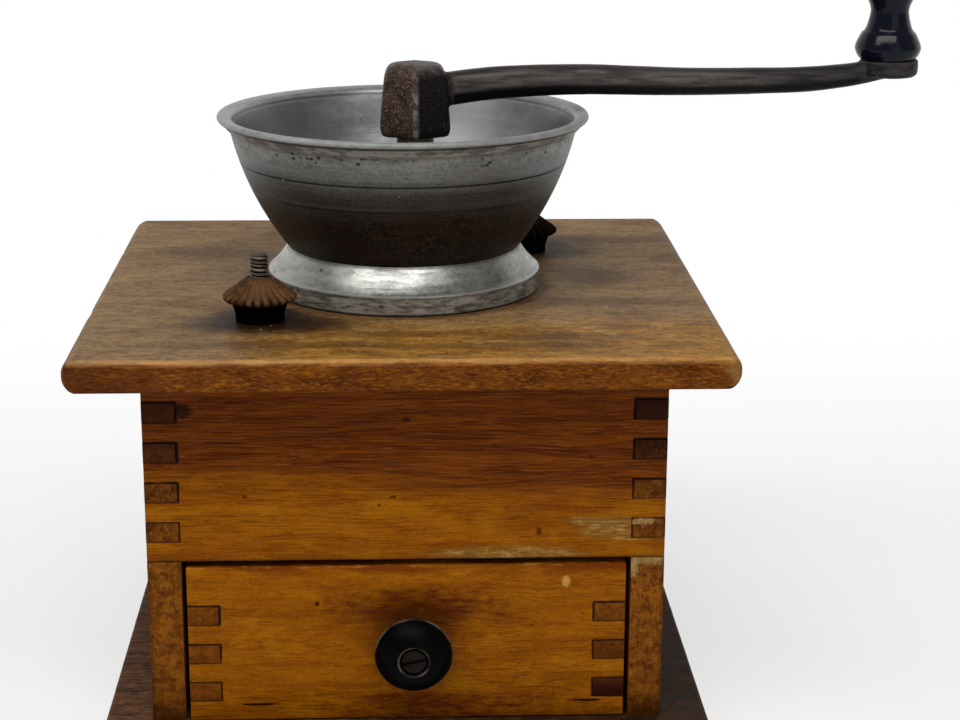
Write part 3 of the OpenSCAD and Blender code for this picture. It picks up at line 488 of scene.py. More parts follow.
def rail_wood():
    """Front rail: dark red-brown above, honey amber below, with pale wear along the lower edge."""
    f = Plank("rail_wood", "x", (146, 86, 4), (120, 62, 2), (70, 26, 3), 29.0, run=50, lined=0.4)
    glow = f.noise(6, (2.6, 1, 1), 3, shift=27)
    f.stain(glow.rise(0.52, 0.66) * 0.45, (160, 100, 5))
    f.stain(glow.rise(0.46, 0.34) * 0.4, (112, 54, 3))
    drift = f.noise(7, (14, 1, 1), 3, shift=13) * (14 * MM) + f.x * 0.05
    dark = (f.z + drift).rise_mm(24, 35, RAIL_LOW.z)
    f.stain(dark * 0.92, f.mix(f.tone.rise(0.38, 0.62), (82, 32, 4), (120, 58, 7)))
    f.stain(dark * f.hair * 0.5, (48, 15, 4))
    lines = f.noise(0.3, (70, 1, 1), 2, 0.6, shift=37, place=f.path)
    f.stain(lines.rise(0.54, 0.68) * (0.22 + dark * 0.4), (46, 16, 3))
    glints = f.noise(0.24, (80, 1, 1), 2, 0.6, shift=39, place=f.path)
    f.stain(dark * glints.rise(0.58, 0.68) * 0.5, (146, 88, 48))
    f.stain(lines.rise(0.42, 0.32) * 0.3, (150, 84, 12))
    worn = f.spot(on_face(RAIL_LOW, 30, 1.6), (21, 4, 1.9), 0.7, 3, 1.0)
    for x, z, wide, high in ((61.5, 9.3, 9, 3.2), (66, 6.4, 9, 0.9), (57, 11.5, 9, 1.4)):
        worn = worn.most(f.spot(on_face(RAIL_LOW, x, z), (wide, 4, high), 0.7, 3, 1.1))
    scuffs = f.noise(0.9, (6, 1, 1), 4, 0.7, shift=35)
    f.stain(worn * 0.55, (132, 102, 44))
    f.stain(worn * scuffs.rise(0.5, 0.64) * 0.55, (188, 158, 94))
    f.stain(worn * scuffs.rise(0.46, 0.34) * 0.6, (70, 42, 16))
    for x, z, wide, high in ((-0.1, 43, 1.2, 0.8), (38.8, 8.4, 0.7, 1.2), (-47, 20, 0.8, 0.5),
                             (-4, 19.5, 0.9, 0.5), (-8, 17, 0.6, 0.4)):
        f.stain(f.spot(on_face(RAIL_LOW, x, z), (wide, 3, high), 0.5) * 0.75, (48, 14, 4))
    f.stain(f.z.rise_mm(0.9, 0, RAIL_LOW.z) * 0.6, (30, 12, 4))
    f.stain(f.spot(on_face(RAIL_LOW, -65, 46), (3.5, 3, 2), 0.7) * 0.8, (16, 8, 6))
    rail_joint(f, 0.95)
    return f.varnish(0.5)


def side_wood(name, shift):
    """Side panel: amber faces, mottled brown end grain at the front."""
    f = Plank(name, "y", (132, 74, 14), (96, 48, 9), (50, 20, 6), shift, run=30)
    end = f.y.rise_mm(0.35, 0.05, RAIL_LOW.y)
    mottle = f.noise(2.4, detail=4, grain=0.65, shift=shift + 2)
    f.stain(end * 0.92, f.mix(mottle.rise(0.3, 0.7), (80, 37, 6), (142, 84, 17)))
    f.stain(end * f.z.rise_mm(0, 1, RAIL_LOW.z) * 0.35, (50, 22, 8))
    upper = end * f.z.rise(RAIL_LOW.z + 14 * MM, RAIL_HIGH.z - 12 * MM)
    f.stain(upper * 0.8, (54, 21, 8))
    f.stain(upper * f.x.over(0) * 0.6, (30, 9, 6))
    f.stain(end * mottle.rise(0.58, 0.74) * 0.25, (50, 19, 5))
    f.stain(end * abs(f.x).rise_mm(-1.6, -0.2, RAIL_HIGH.x) * 0.5, (56, 22, 8))
    fleck = f.noise(0.8, (1, 1, 1.6), 4, 0.75, shift=shift + 8)
    f.stain(end * fleck.rise(0.53, 0.68) * 0.5, (62, 27, 7))
    f.stain((end - upper * 0.9) * fleck.rise(0.43, 0.32) * 0.6, (164, 112, 42))
    f.stain(end * f.noise(0.6, (1, 1, 30), 2, shift=shift + 6).rise(0.58, 0.7) * 0.35, (50, 21, 7))
    f.stain(end * f.z.rise_mm(9, 0, BASE_HIGH.z) * 0.7, (52, 24, 8))
    rail_joint(f, end * 0.95)
    corner = Vector((RAIL_HIGH.x, RAIL_LOW.y, RAIL_LOW.z))
    chip = f.spot(corner - Vector((5, 0, 0.6)) * MM, (6, 2, 1.6), 0.9, 1.5, 1.0)
    chip = chip.most(f.spot(corner - Vector((9, 0, 2.5)) * MM, (1.2, 2, 3.5), 0.8, 1))
    chip = chip.most(f.spot(on_face(RAIL_LOW, 69, 11.2), (4, 2, 0.9), 0.8, 1.5))
    f.stain(chip * (0.4 + fleck.rise(0.4, 0.6) * 0.45), (160, 134, 82))
    f.stain(end * f.z.rise_mm(-0.3, -0.1, RAIL_LOW.z) * f.z.rise_mm(0.6, 0, RAIL_LOW.z) * 0.7, (30, 12, 5))
    return f.varnish(0.55)


def back_wood():
    """Back panel, a little darker and drier than the front."""
    f = Plank("back_wood", "x", (120, 68, 16), (84, 42, 10), (44, 18, 7), 53.0, run=32)
    f.stain(f.slow.rise(0.5, 0.7) * 0.4, (70, 34, 12))
    f.stain(joint_dirt(f, BACK_LOW.z, 16, BACK_HIGH.x - WALL) * 0.9, (24, 10, 5))
    return f.varnish(0.48)


def drawer_front_wood():
    """Golden drawer front with reddish smudges round its knob."""
    f = Plank("drawer_front_wood", "x", (150, 88, 3), (124, 66, 2), (80, 32, 3), 71.0, run=30, lined=0.5)
    glow = f.noise(6, (2.6, 1, 1), 3, shift=73)
    f.stain(glow.rise(0.52, 0.66) * 0.45, (164, 104, 5))
    f.stain(glow.rise(0.46, 0.34) * 0.35, (118, 58, 3))
    smudges = f.spot(on_face(FRONT_LOW, 2, 36), (24, 6, 6), 0.7, 4, 1.1)
    smudges = smudges.most(f.spot(on_face(FRONT_LOW, 12, 3), (32, 6, 5.5), 0.7, 4, 1.1))
    smudges = smudges.most(f.spot(on_face(FRONT_LOW, 14, 20), (10, 6, 9), 0.7, 4, 1.1) * 0.3)
    broken = f.noise(1.6, (4, 1, 1), 3, 0.6, shift=75)
    f.stain(smudges * (0.35 + broken.rise(0.42, 0.62) * 0.45), (72, 15, 4))
    f.stain(f.spot(on_face(FRONT_LOW, 4, 33), (11, 6, 5), 0.5, 3, 1.2) * 0.55, (48, 10, 3))
    flecks = f.noise(0.8, (3.5, 1, 1), 3, 0.65, shift=77)
    f.stain(flecks.rise(0.57, 0.7) * 0.5, (92, 44, 4))
    f.stain(flecks.rise(0.4, 0.3) * 0.4, (176, 112, 16))
    brow = f.z.rise_mm(-4, -0.4, FRONT_HIGH.z) * f.noise(6, (5, 1, 1), 2).rise(0.36, 0.56)
    f.stain(brow * 0.7, (96, 34, 4))
    lip = f.z.rise_mm(-0.6, -0.3, FRONT_HIGH.z)
    f.stain(lip * f.noise(2.2, (2.5, 1, 1), 4, 0.65, shift=79).rise(0.5, 0.66) * 0.5, (178, 122, 50))
    halo = f.spot((PULL.x, FRONT_LOW.y, PULL.z), (15, 5, 15), 0.3, 4)
    f.stain(halo * 0.4, (84, 36, 5))
    f.stain(f.spot(on_face(FRONT_LOW, 47, 43.4), (1.25, 3, 1.7), 0.5, 1) * 0.6, (206, 160, 82))
    f.stain(f.spot(on_face(FRONT_LOW, -26.6, 37), (0.8, 3, 0.8), 0.3), (70, 26, 4))
    for x, wide in ((-44, 5.5), (53.3, 5)):
        f.stain(f.spot(on_face(FRONT_LOW, x, 5), (wide, 3, 0.45), 0.5, 2), (44, 14, 3))
    dots = f.cells(11, (1, 9, 1), 5.0).rise(0.06, 0.03)
    f.stain(dots * 0.6, (72, 28, 5))
    f.stain(joint_dirt(f, FRONT_LOW.z, 6, FRONT_HIGH.x - DRAWER_WALL) * 0.9, (34, 12, 3))
    return f.varnish(0.5)


def drawer_side_wood():
    """Drawer sides and back: paler inside, darker end grain in the joints."""
    f = Plank("drawer_side_wood", "y", (150, 100, 42), (120, 74, 26), (72, 40, 14), 83.0, run=28)
    end = f.y.rise_mm(0.35, 0.05, FRONT_LOW.y)
    mottle = f.noise(2.2, detail=4, grain=0.65, shift=15)
    f.stain(end * 0.92, f.mix(mottle.rise(0.35, 0.65), (98, 48, 5), (136, 76, 6)))
    f.stain(end * 0.25, (50, 22, 6))
    f.stain(end * f.x.over(0) * f.z.rise_mm(29, 25, FRONT_LOW.z) * 0.42, (52, 14, 8))
    f.stain(end * f.x.over(0) * f.z.rise_mm(16, 8, FRONT_LOW.z) * 0.9, (40, 9, 5))
    f.stain(end * joint_dirt(f, FRONT_LOW.z, 6, FRONT_HIGH.x - DRAWER_WALL) * 0.95, (34, 12, 3))
    return f.varnish(0.55)


def plain_wood():
    """Bare inner wood, dusty with coffee."""
    f = Plank("plain_wood", "x", (156, 118, 74), (126, 90, 52), (82, 54, 28), 91.0, run=24)
    f.stain(f.slow.rise(0.45, 0.7) * 0.5, (88, 58, 34))
    return f.varnish(0.62)


def pewter(name):
    """Turned pewter to build on: fine lathe lines, slow bands, clouds and grain."""
    f = Finish(name)
    f.turned = f.noise(0.5, (80, 80, 1), 3, 0.6, shift=3)
    f.band = f.noise(2.2, (40, 40, 1), 3, shift=6)
    f.cloud = f.noise(9, (2, 2, 1), 4, 0.55, shift=8)
    f.bloom = f.noise(1.8, (1.6, 1.6, 1), 4, 0.65, shift=14)
    f.mottle = f.cloud * 0.35 + f.band * 0.35 + f.bloom * 0.3
    f.grain = f.noise(0.7, (1.5, 1.5, 1), 3, 0.7, shift=27)
    f.relief = [(f.turned, 0.03 * MM), (f.cloud + f.band * 0.6 + f.grain * 0.2, 0.08 * MM)]
    return f


def bowl_pewter():
    """Bowl: bright inside with painted shade at both sides and a painted highlight fan right of the middle,
    chalky and pitted under the lip, brown-black tarnish low down, and a painted shade line under the rolled
    bead.
    """
    f = pewter("bowl_pewter")
    level, reach = f.z - DECK, radius_of(f)
    f.colour = f.mix(f.mottle.rise(0.36, 0.64), (118, 120, 119), (156, 158, 156))
    centre = arc_centre(Vector((WAIST, FOOT_H)), Vector((UNDER_LIP, LIP_Z)), BOWL_CURVE)
    curve = ((reach - centre.x) ** 2 + (level - centre.y) ** 2) ** 0.5
    shell = curve.rise_mm(-1.1, -0.6, BOWL_CURVE) * level.rise_mm(51.4, 50.4)
    inside = curve.rise_mm(-1.1, -1.5, BOWL_CURVE) * level.rise_mm(53, 51)
    across = f.x - MILL.x + (f.cloud - 0.5) * (9 * MM)
    # painted shade on the inside, left of the middle and at the far right
    shaded = across.rise_mm(-8, -36).most(across.rise_mm(36, 46))
    f.stain(inside * shaded * 0.8, (88, 90, 89))
    # painted highlight: a bright fan on the inside, right of the middle
    painted_fan_highlight = across.rise_mm(9, 18) * across.rise_mm(38, 24)
    f.stain(inside * painted_fan_highlight * 0.65, (186, 187, 183))
    fall = level + (f.cloud - 0.5) * (8 * MM) + (f.band - 0.5) * (2 * MM)
    brushed = (f.band * 0.25 + f.turned * 0.25 + f.grain * 0.5).rise(0.38, 0.62)
    f.stain(shell * 0.95, f.mix(brushed, (87, 88, 86), (121, 123, 120)))
    f.stain(shell * fall.rise_mm(47, 36) * 0.85, f.mix(brushed, (37, 36, 33), (63, 61, 58)))
    low = fall.rise_mm(36, 27)
    sooty = (f.bloom * 0.4 + f.grain * 0.6).rise(0.44, 0.56)
    f.stain(shell * low * 0.92, f.mix(sooty, (12, 9, 8), (54, 42, 35)))
    red = f.noise(6, (3, 3, 1), 3, shift=33).rise(0.46, 0.64)
    f.stain(shell * low * red * 0.5, (52, 25, 20))
    for scribe in SCRIBES:
        f.stain(shell * abs(level - scribe).rise_mm(0.5, 0.15) * 0.9, (10, 9, 8))
    brow = (level + (f.bloom - 0.5) * (5 * MM)).rise_mm(44.5, 47.5) * shell
    chalk = f.noise(3, (2.2, 2.2, 1), 4, 0.65, shift=63)
    f.stain(brow * chalk.rise(0.48, 0.62) * 0.5, (142, 140, 130))
    f.stain(brow * chalk.rise(0.43, 0.33) * 0.6, (52, 49, 44))
    row = abs(level - 48.2 * MM).rise_mm(2.4, 1.2) * f.noise(8, (1, 1, 4), 2, shift=41).rise(0.47, 0.55)
    pits = f.cells(1.9, (1.2, 1.2, 0.8), 2.0).rise(0.36, 0.24) * row
    f.stain(shell * pits * 0.95, (8, 7, 6))
    f.stain(f.cells(11, shift=6.0).rise(0.07, 0.04) * 0.75, (44, 41, 38))
    f.stain(f.cells(8, shift=12.0).rise(0.06, 0.03) * shell * 0.7, (150, 146, 138))
    lip = reach.rise_mm(53.9, 54.4) * level.rise_mm(50, 50.6)
    underside = f.mix(chalk.rise(0.43, 0.57), (92, 91, 87), (146, 145, 138))
    f.stain(lip * level.rise_mm(53.3, 52.9) * 0.9, underside)
    # painted shade: a thin dark line in the crease under the rolled bead
    shade_under_bead = abs(level - 52.9 * MM).rise_mm(0.5, 0.2) * reach.rise_mm(53.5, 54.5)
    f.stain(shade_under_bead * 0.85, (16, 14, 13))
    inner_line = abs(level - 52.8 * MM).rise_mm(0.6, 0.2) * reach.rise_mm(54, 53.4)
    f.stain(inner_line * 0.6, (44, 44, 42))
    rough = 0.42 + (f.cloud - 0.5) * 0.15 + (f.band - 0.5) * 0.16
    rough = rough + shell * 0.04 - (1 - shell) * 0.04 + lip * 0.12
    return f.close(rough, f.relief, Metallic=0.62 - brow * 0.3 - lip * 0.4)


def foot_pewter():
    """Foot: pale smudged cone, lighter on its left with painted light, over an upright band with grime and rust
    and a painted contact shadow along its bottom.
    """
    f = pewter("foot_pewter")
    f.colour = f.mix((f.mottle * 0.7 + f.grain * 0.3).rise(0.36, 0.64), (114, 115, 110), (168, 168, 162))
    # painted light: the cone paler towards its left
    f.stain((f.x - MILL.x).rise_mm(4, -32) * 0.4, (184, 184, 178))
    grime = f.z.rise_mm(6.6, 5.6, DECK)
    smudge = f.noise(4.5, (1.6, 1.6, 1), 4, 0.65, shift=54)
    f.stain(smudge.rise(0.5, 0.64) * 0.4, (92, 92, 88))
    streak = f.noise(1.1, (5, 5, 1), 4, 0.65, shift=52)
    f.stain(grime * 0.85, f.mix(streak.rise(0.36, 0.64), (68, 64, 56), (158, 151, 138)))
    rust = f.noise(1.7, (1.8, 1.8, 1), 3, shift=57).rise(0.62, 0.7)
    f.stain(grime * rust * 0.8, (66, 50, 22))
    f.stain(f.z.rise_mm(4.2, 5.4, DECK) * grime * 0.5, (52, 49, 45))
    shoulder = abs(f.z - (DECK + 6.1 * MM)).rise_mm(0.5, 0.15)
    f.stain(shoulder * 0.5, (190, 190, 186))
    # painted contact shadow: black along the band's bottom edge on the board
    f.stain(f.z.rise_mm(1.2, 0.3, DECK) * 0.95, (7, 6, 5))
    f.stain(f.z.rise_mm(12.6, 13.6, DECK) * 0.6, (40, 34, 30))
    f.stain(f.cells(6.5, (1.5, 1.5, 1), 7.0).rise(0.11, 0.05) * 0.7, (52, 48, 43))
    rough = 0.38 + (f.band - 0.5) * 0.5 + (streak - 0.5) * 0.5 + grime * 0.08
    return f.close(rough, f.relief, Metallic=0.9 - grime * 0.4)


def cast_iron(name, dark, brown, rust, shift, rusty, shine, **constants):
    """Old casting to build on: dark skin, brown rust in patches and bright specks, pitted."""
    f = Finish(name, Metallic=shine, **constants)
    patch = f.noise(9, detail=4, grain=0.6, shift=shift)
    speck = f.noise(1.1, detail=4, grain=0.7, shift=shift + 5)
    grit = f.noise(0.5, detail=2, shift=shift + 9)
    f.colour = f.mix((patch * 0.6 + speck * 0.4).rise(0.38, 0.62), dark, brown)
    flecks = speck.rise(0.56, 0.7) * patch.rise(0.75 - 0.5 * rusty, 0.95 - 0.5 * rusty)
    f.stain(flecks * 0.85, rust)
    f.rough = 0.5 + flecks * 0.3 + (patch - 0.5) * 0.25
    f.relief = [(patch, 0.25 * MM), (speck + grit * 0.6, 0.16 * MM)]
    return f


def crank_iron():
    """Crank: rust-speckled hub with a painted lit left face, a painted shaded right face and a painted
    highlight on its front corner; brown-grey arm, near black below its parting line with painted shade.
    """
    f = cast_iron("crank_iron", (42, 37, 35), (92, 80, 74), (120, 92, 72), 5.0, 0.5, 0.12,
                  Specular_Ior_Level=0.12)
    section = f.node("ShaderNodeAttribute", {"attribute_name": "section"}, out="Fac")
    drawn = f.noise(1.6, (9, 1, 1), 4, 0.6, shift=71)
    f.stain(0.8, f.mix(drawn.rise(0.36, 0.64), (48, 43, 41), (90, 83, 81)))
    tip = f.x.rise_mm(-62, -22, KNOB.x)
    f.stain(tip * 0.85, f.mix(drawn.rise(0.4, 0.6), (24, 23, 24), (44, 42, 42)))
    f.stain(section.rise(0.3, 0.46) * 0.7, (26, 24, 24))
    # painted shade: the arm's underside, below its parting line, near black
    f.stain(section.rise(0.04, -0.2) * 0.96, (4, 4, 4))
    # hub's faces as lit and shaded copies: the left painted lit, brown with pale flecks, the right painted in
    # shade, near black
    hub = f.x.rise_mm(13, 10.5, GRIND.x)
    left = hub * f.x.rise_mm(0.6, -0.6, GRIND.x)
    fleck = f.noise(0.6, detail=3, grain=0.65, shift=19)
    f.stain(left * 0.85, f.mix(fleck.rise(0.36, 0.62), (40, 30, 25), (88, 68, 53)))
    f.stain(left * f.noise(2.5, detail=4, grain=0.65, shift=83).rise(0.5, 0.62) * 0.6, (28, 20, 16))
    f.stain(left * fleck.rise(0.59, 0.7) * 0.65, (176, 144, 108))
    right = hub * f.x.rise_mm(0.2, 1.6, GRIND.x) * f.z.rise_mm(70, 66, DECK)
    f.stain(right * 0.95, f.mix(fleck.rise(0.56, 0.7), (11, 11, 10), (72, 64, 58)))
    # painted highlight along the hub's front corner
    corner = abs(f.x - GRIND.x).rise_mm(1.3, 0.2) * f.y.rise_mm(-9, -11, GRIND.y)
    f.stain(corner * f.noise(3, detail=3, shift=25).rise(0.42, 0.6) * 0.7, (140, 132, 128))
    return f.close(f.rough, f.relief)


def nut_iron():
    """Clamp nuts: rusty brown cones, black bodies, and painted shade that makes the rear one darker."""
    f = cast_iron("nut_iron", (62, 42, 28), (98, 68, 44), (118, 82, 50), 23.0, 0.7, 0.2,
                  Specular_Ior_Level=0)
    groove = f.node("ShaderNodeAttribute", {"attribute_name": "groove"}, out="Fac")
    f.stain(groove.rise(0.35, 0.9) * 0.75, (26, 16, 11))
    under = f.z.rise_mm(6.6, 5.8, DECK)
    f.stain(under * 0.97, (2, 2, 2))
    # painted shade: the rear nut darkened to near black
    rear = f.y.over(0)
    f.stain(rear * 0.9, (10, 9, 9))
    return f.close(f.rough, f.relief, Metallic=0.15 - under * 0.15)


def burr_iron():
    """Grey castings of the burrs, their housing and bars."""
    f = cast_iron("burr_iron", (66, 62, 60), (96, 88, 82), (112, 82, 58), 37.0, 0.4, 0.75)
    return f.close(f.rough, f.relief)


def screw_steel():
    """Spindle, screws and pins, brighter than the castings."""
    f = cast_iron("screw_steel", (92, 80, 70), (132, 120, 108), (104, 72, 48), 43.0, 0.5, 0.9)
    return f.close(f.rough - 0.12, f.relief)


def pull_screw():
    """Dark, rusty screw of the drawer's knob."""
    f = cast_iron("pull_screw", (10, 8, 7), (24, 18, 15), (44, 32, 24), 59.0, 0.6, 0.2,
                  Specular_Ior_Level=0.1)
    return f.close(f.rough, f.relief)


def stud_steel():
    """Threaded studs: bright worn crests, black oil and rust between them."""
    f = cast_iron("stud_steel", (60, 46, 38), (92, 74, 62), (96, 62, 42), 47.0, 0.5, 0.85)
    reach = radius_of(f, BOLTS["front"]).least(radius_of(f, BOLTS["rear"]))
    end = f.z.rise_mm(-0.35, -0.15, STUD_TOP)
    crest = reach.rise_mm(2.52, 2.72).most(end * 0.55)
    f.colour = f.mix(crest, (7, 6, 5), f.mix(0.6, f.colour, (128, 112, 102)))
    return f.close(0.5, f.relief)


def black_paint(name, skin, chip, shift, gloss, shine, worn_and_lit_rings=()):
    """Worn paint on turned wood: brush waviness, dust, chips, and pale rings on the drawer knob that are worn
    paint and a painted highlight.
    """
    f = Finish(name, Specular_Ior_Level=shine)
    wave = f.noise(6, detail=3, shift=shift)
    dust = f.noise(0.9, detail=3, grain=0.7, shift=shift + 4)
    f.colour = f.mix(dust.rise(0.62, 0.8) * 0.2, skin, (44, 46, 50))
    chips = f.cells(5, (1, 1, 1), shift).rise(0.13, 0.08) * wave.rise(0.5, 0.6)
    f.stain(chips * 0.85, chip)
    reach = ((f.x - PULL.x) ** 2 + (f.z - PULL.z) ** 2) ** 0.5
    # pale rings at the knob's rim and round its recess: worn paint and a painted highlight
    for ring in worn_and_lit_rings:
        wear_and_highlight = 0.1 + wave.rise(0.42, 0.62) * 0.5
        f.stain(abs(reach - ring).rise_mm(0.4, 0.1) * wear_and_highlight, (108, 92, 78))
    rough = gloss + wave * 0.1 + chips * 0.4 + dust.rise(0.5, 0.75) * 0.2
    return f.close(rough, [(wave, 0.2 * MM), (1 - chips, 0.12 * MM)])


# Pieces

def worn_board(node, slot, material, opening, nose, seed):
    """Board with eased edges, half-round `nose` on two sides, and the opening for the mill if it has one."""
    low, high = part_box(node)
    heart = (low + high) / 2
    half = (high - low) / 2
    roll, corner, spacing = 1.2 * MM, 4 * MM, 1.6 * MM
    rows, margin = 7, 0.8 * MM
    outline = []
    for turn, (sx, sy) in enumerate(((1, 1), (-1, 1), (-1, -1), (1, -1))):
        centre = Vector((heart.x + sx * (half.x - corner), heart.y + sy * (half.y - corner)))
        for k in range(9):
            angle = math.pi / 2 * (turn + k / 8)
            out = Vector((math.cos(angle), math.sin(angle)))
            outline.append((centre + corner * out, out))
        side = outline[-1][1]
        run = 2 * (half.y if turn % 2 else half.x) - 2 * corner
        start = centre + corner * side
        step = Vector((-side.y, side.x))
        count = int(run / spacing)
        outline += [(start + step * run * i / count, side) for i in range(1, count)]
    bm = bmesh.new()
    turns = [math.pi / 2 * k / rows for k in range(rows + 1)]
    section = [(1, 0, 1, margin)] + [(1 - math.sin(a), 1 - math.cos(a), 1, 0) for a in turns]
    section += [(inset, drop, -1, extra) for inset, drop, _, extra in reversed(section)]
    loops = []
    for inset, drop, way, extra in section:
        loop = []
        for spot, out in outline:
            ease = roll + (nose - roll) * out.x ** 2
            where = Vector((spot.x, spot.y, heart.z + way * (half.z - ease * drop)))
            bruise = noise.fractal(where * 140 + Vector((seed, 0, 0)), 0.6, 2.0, 4)
            dent = max(0, noise.noise(where * 70 + Vector((0, seed, 0))) - 0.42) * 0.8 * MM
            push = 0.08 * MM * (1 + bruise) * 0.5 + dent * (1 - inset * 0.5)
            where -= Vector((out.x * (nose * inset + push + extra), out.y * (roll * inset + push + extra), 0))
            loop.append(bm.verts.new(where))
        loops.append(loop)
    count = len(outline)
    for upper, lower in zip(loops, loops[1:]):
        for i in range(count):
            bm.faces.new((upper[i], lower[i], lower[(i + 1) % count], upper[(i + 1) % count]))
    if opening:
        turns = [math.atan2(spot.y - GRIND.y, spot.x - GRIND.x) for spot, _ in outline]
        rims = [[bm.verts.new((GRIND.x + opening * math.cos(a), GRIND.y + opening * math.sin(a), height))
                 for a in turns] for height in (high.z, low.z)]
        for rim, loop in ((rims[0], loops[0]), (rims[1], loops[-1])):
            for i in range(count):
                bm.faces.new((rim[i], loop[i], loop[(i + 1) % count], rim[(i + 1) % count]))
        for i in range(count):
            bm.faces.new((rims[0][i], rims[1][i], rims[1][(i + 1) % count], rims[0][(i + 1) % count]))
    else:
        bm.faces.new(loops[0])
        bm.faces.new(loops[-1])
    return add_piece("worn_" + node, mesh_from(bm, node, 50), "case", slot, material, node)


def hopper(bowl_finish, foot_finish):
    """Bowl and foot as turned pewter, a little out of round."""
    rim_z, throat, floor_r = 55 * MM, 20 * MM, 29 * MM
    scribe_w, scribe_t = 0.6 * MM, 0.3 * MM
    band, flange, foot_curve = 6.1 * MM, 31.5 * MM, 30 * MM
    offset = GRIND.x - MILL.x
    outer = arc((WAIST, FOOT_H), (UNDER_LIP, LIP_Z), BOWL_CURVE, 40)
    for level in SCRIBES:
        below = [p for p in outer if p.y < level - scribe_w]
        above = [p for p in outer if p.y > level + scribe_w]
        share = (level - below[-1].y) / (above[0].y - below[-1].y)
        on = below[-1].lerp(above[0], share)
        slope = (above[0] - below[-1]).normalized()
        deep = on + Vector((-slope.y, slope.x)) * scribe_t
        outer = below + [on - slope * scribe_w / 2, deep, on + slope * scribe_w / 2] + above
    inner = arc((WAIST - SHEET, FOOT_H + SHEET), (UNDER_LIP - SHEET, LIP_Z), BOWL_CURVE - SHEET, 24)
    rolled = ((1.5, 2.6), (0.35, 1.7), (0, 0.95), (0.4, 0.2), (1.2, 0), (3, 0.35), (4.4, 1.5))
    bead = [Vector((RIM_R - inset * MM, rim_z - drop * MM)) for inset, drop in rolled]
    line = [Vector((throat, FOOT_H, offset)), Vector((floor_r, FOOT_H, 0))] + outer[:-1]
    line += spline([outer[-1], *bead, inner[-1]], 4)[:-1] + list(reversed(inner))
    line += [Vector((floor_r, FOOT_H + SHEET, 0)), Vector((throat, FOOT_H + SHEET, offset))]

    def dented(angle, height):
        where = Vector((math.cos(angle) * 1.6, math.sin(angle) * 1.6, height * 35))
        return (noise.noise(where) - 0.7) * 0.08 * MM * min(1, max(0, (height - 16 * MM) / (12 * MM)))

    upright = ((SHEET, 0), (0.4 * MM, 0), (0, 0.4 * MM), (0.15 * MM, 0.5 * band), (0, band - 0.6 * MM),
               (0.1 * MM, band))
    foot = [Vector((FOOT_R - inset, height)) for inset, height in upright]
    foot += reversed(arc((WAIST, FOOT_H), (FOOT_R - 0.5 * MM, band + 0.3 * MM), foot_curve, 16))
    foot += [Vector((flange, FOOT_H)), Vector((flange, FOOT_H - SHEET))]
    foot += arc((WAIST - SHEET, FOOT_H - SHEET), (FOOT_R - SHEET, band - SHEET / 2), foot_curve, 10)
    for name, points, warp, finish in (("bowl", line, dented, bowl_finish), ("foot", foot, None, foot_finish)):
        bm = lathe(points, 192, True, warp)
        bmesh.ops.translate(bm, verts=bm.verts, vec=(MILL.x, MILL.y, DECK))
        add_piece("turned_" + name, mesh_from(bm, name, 40), "case", "pewter", finish, "hopper_" + name)


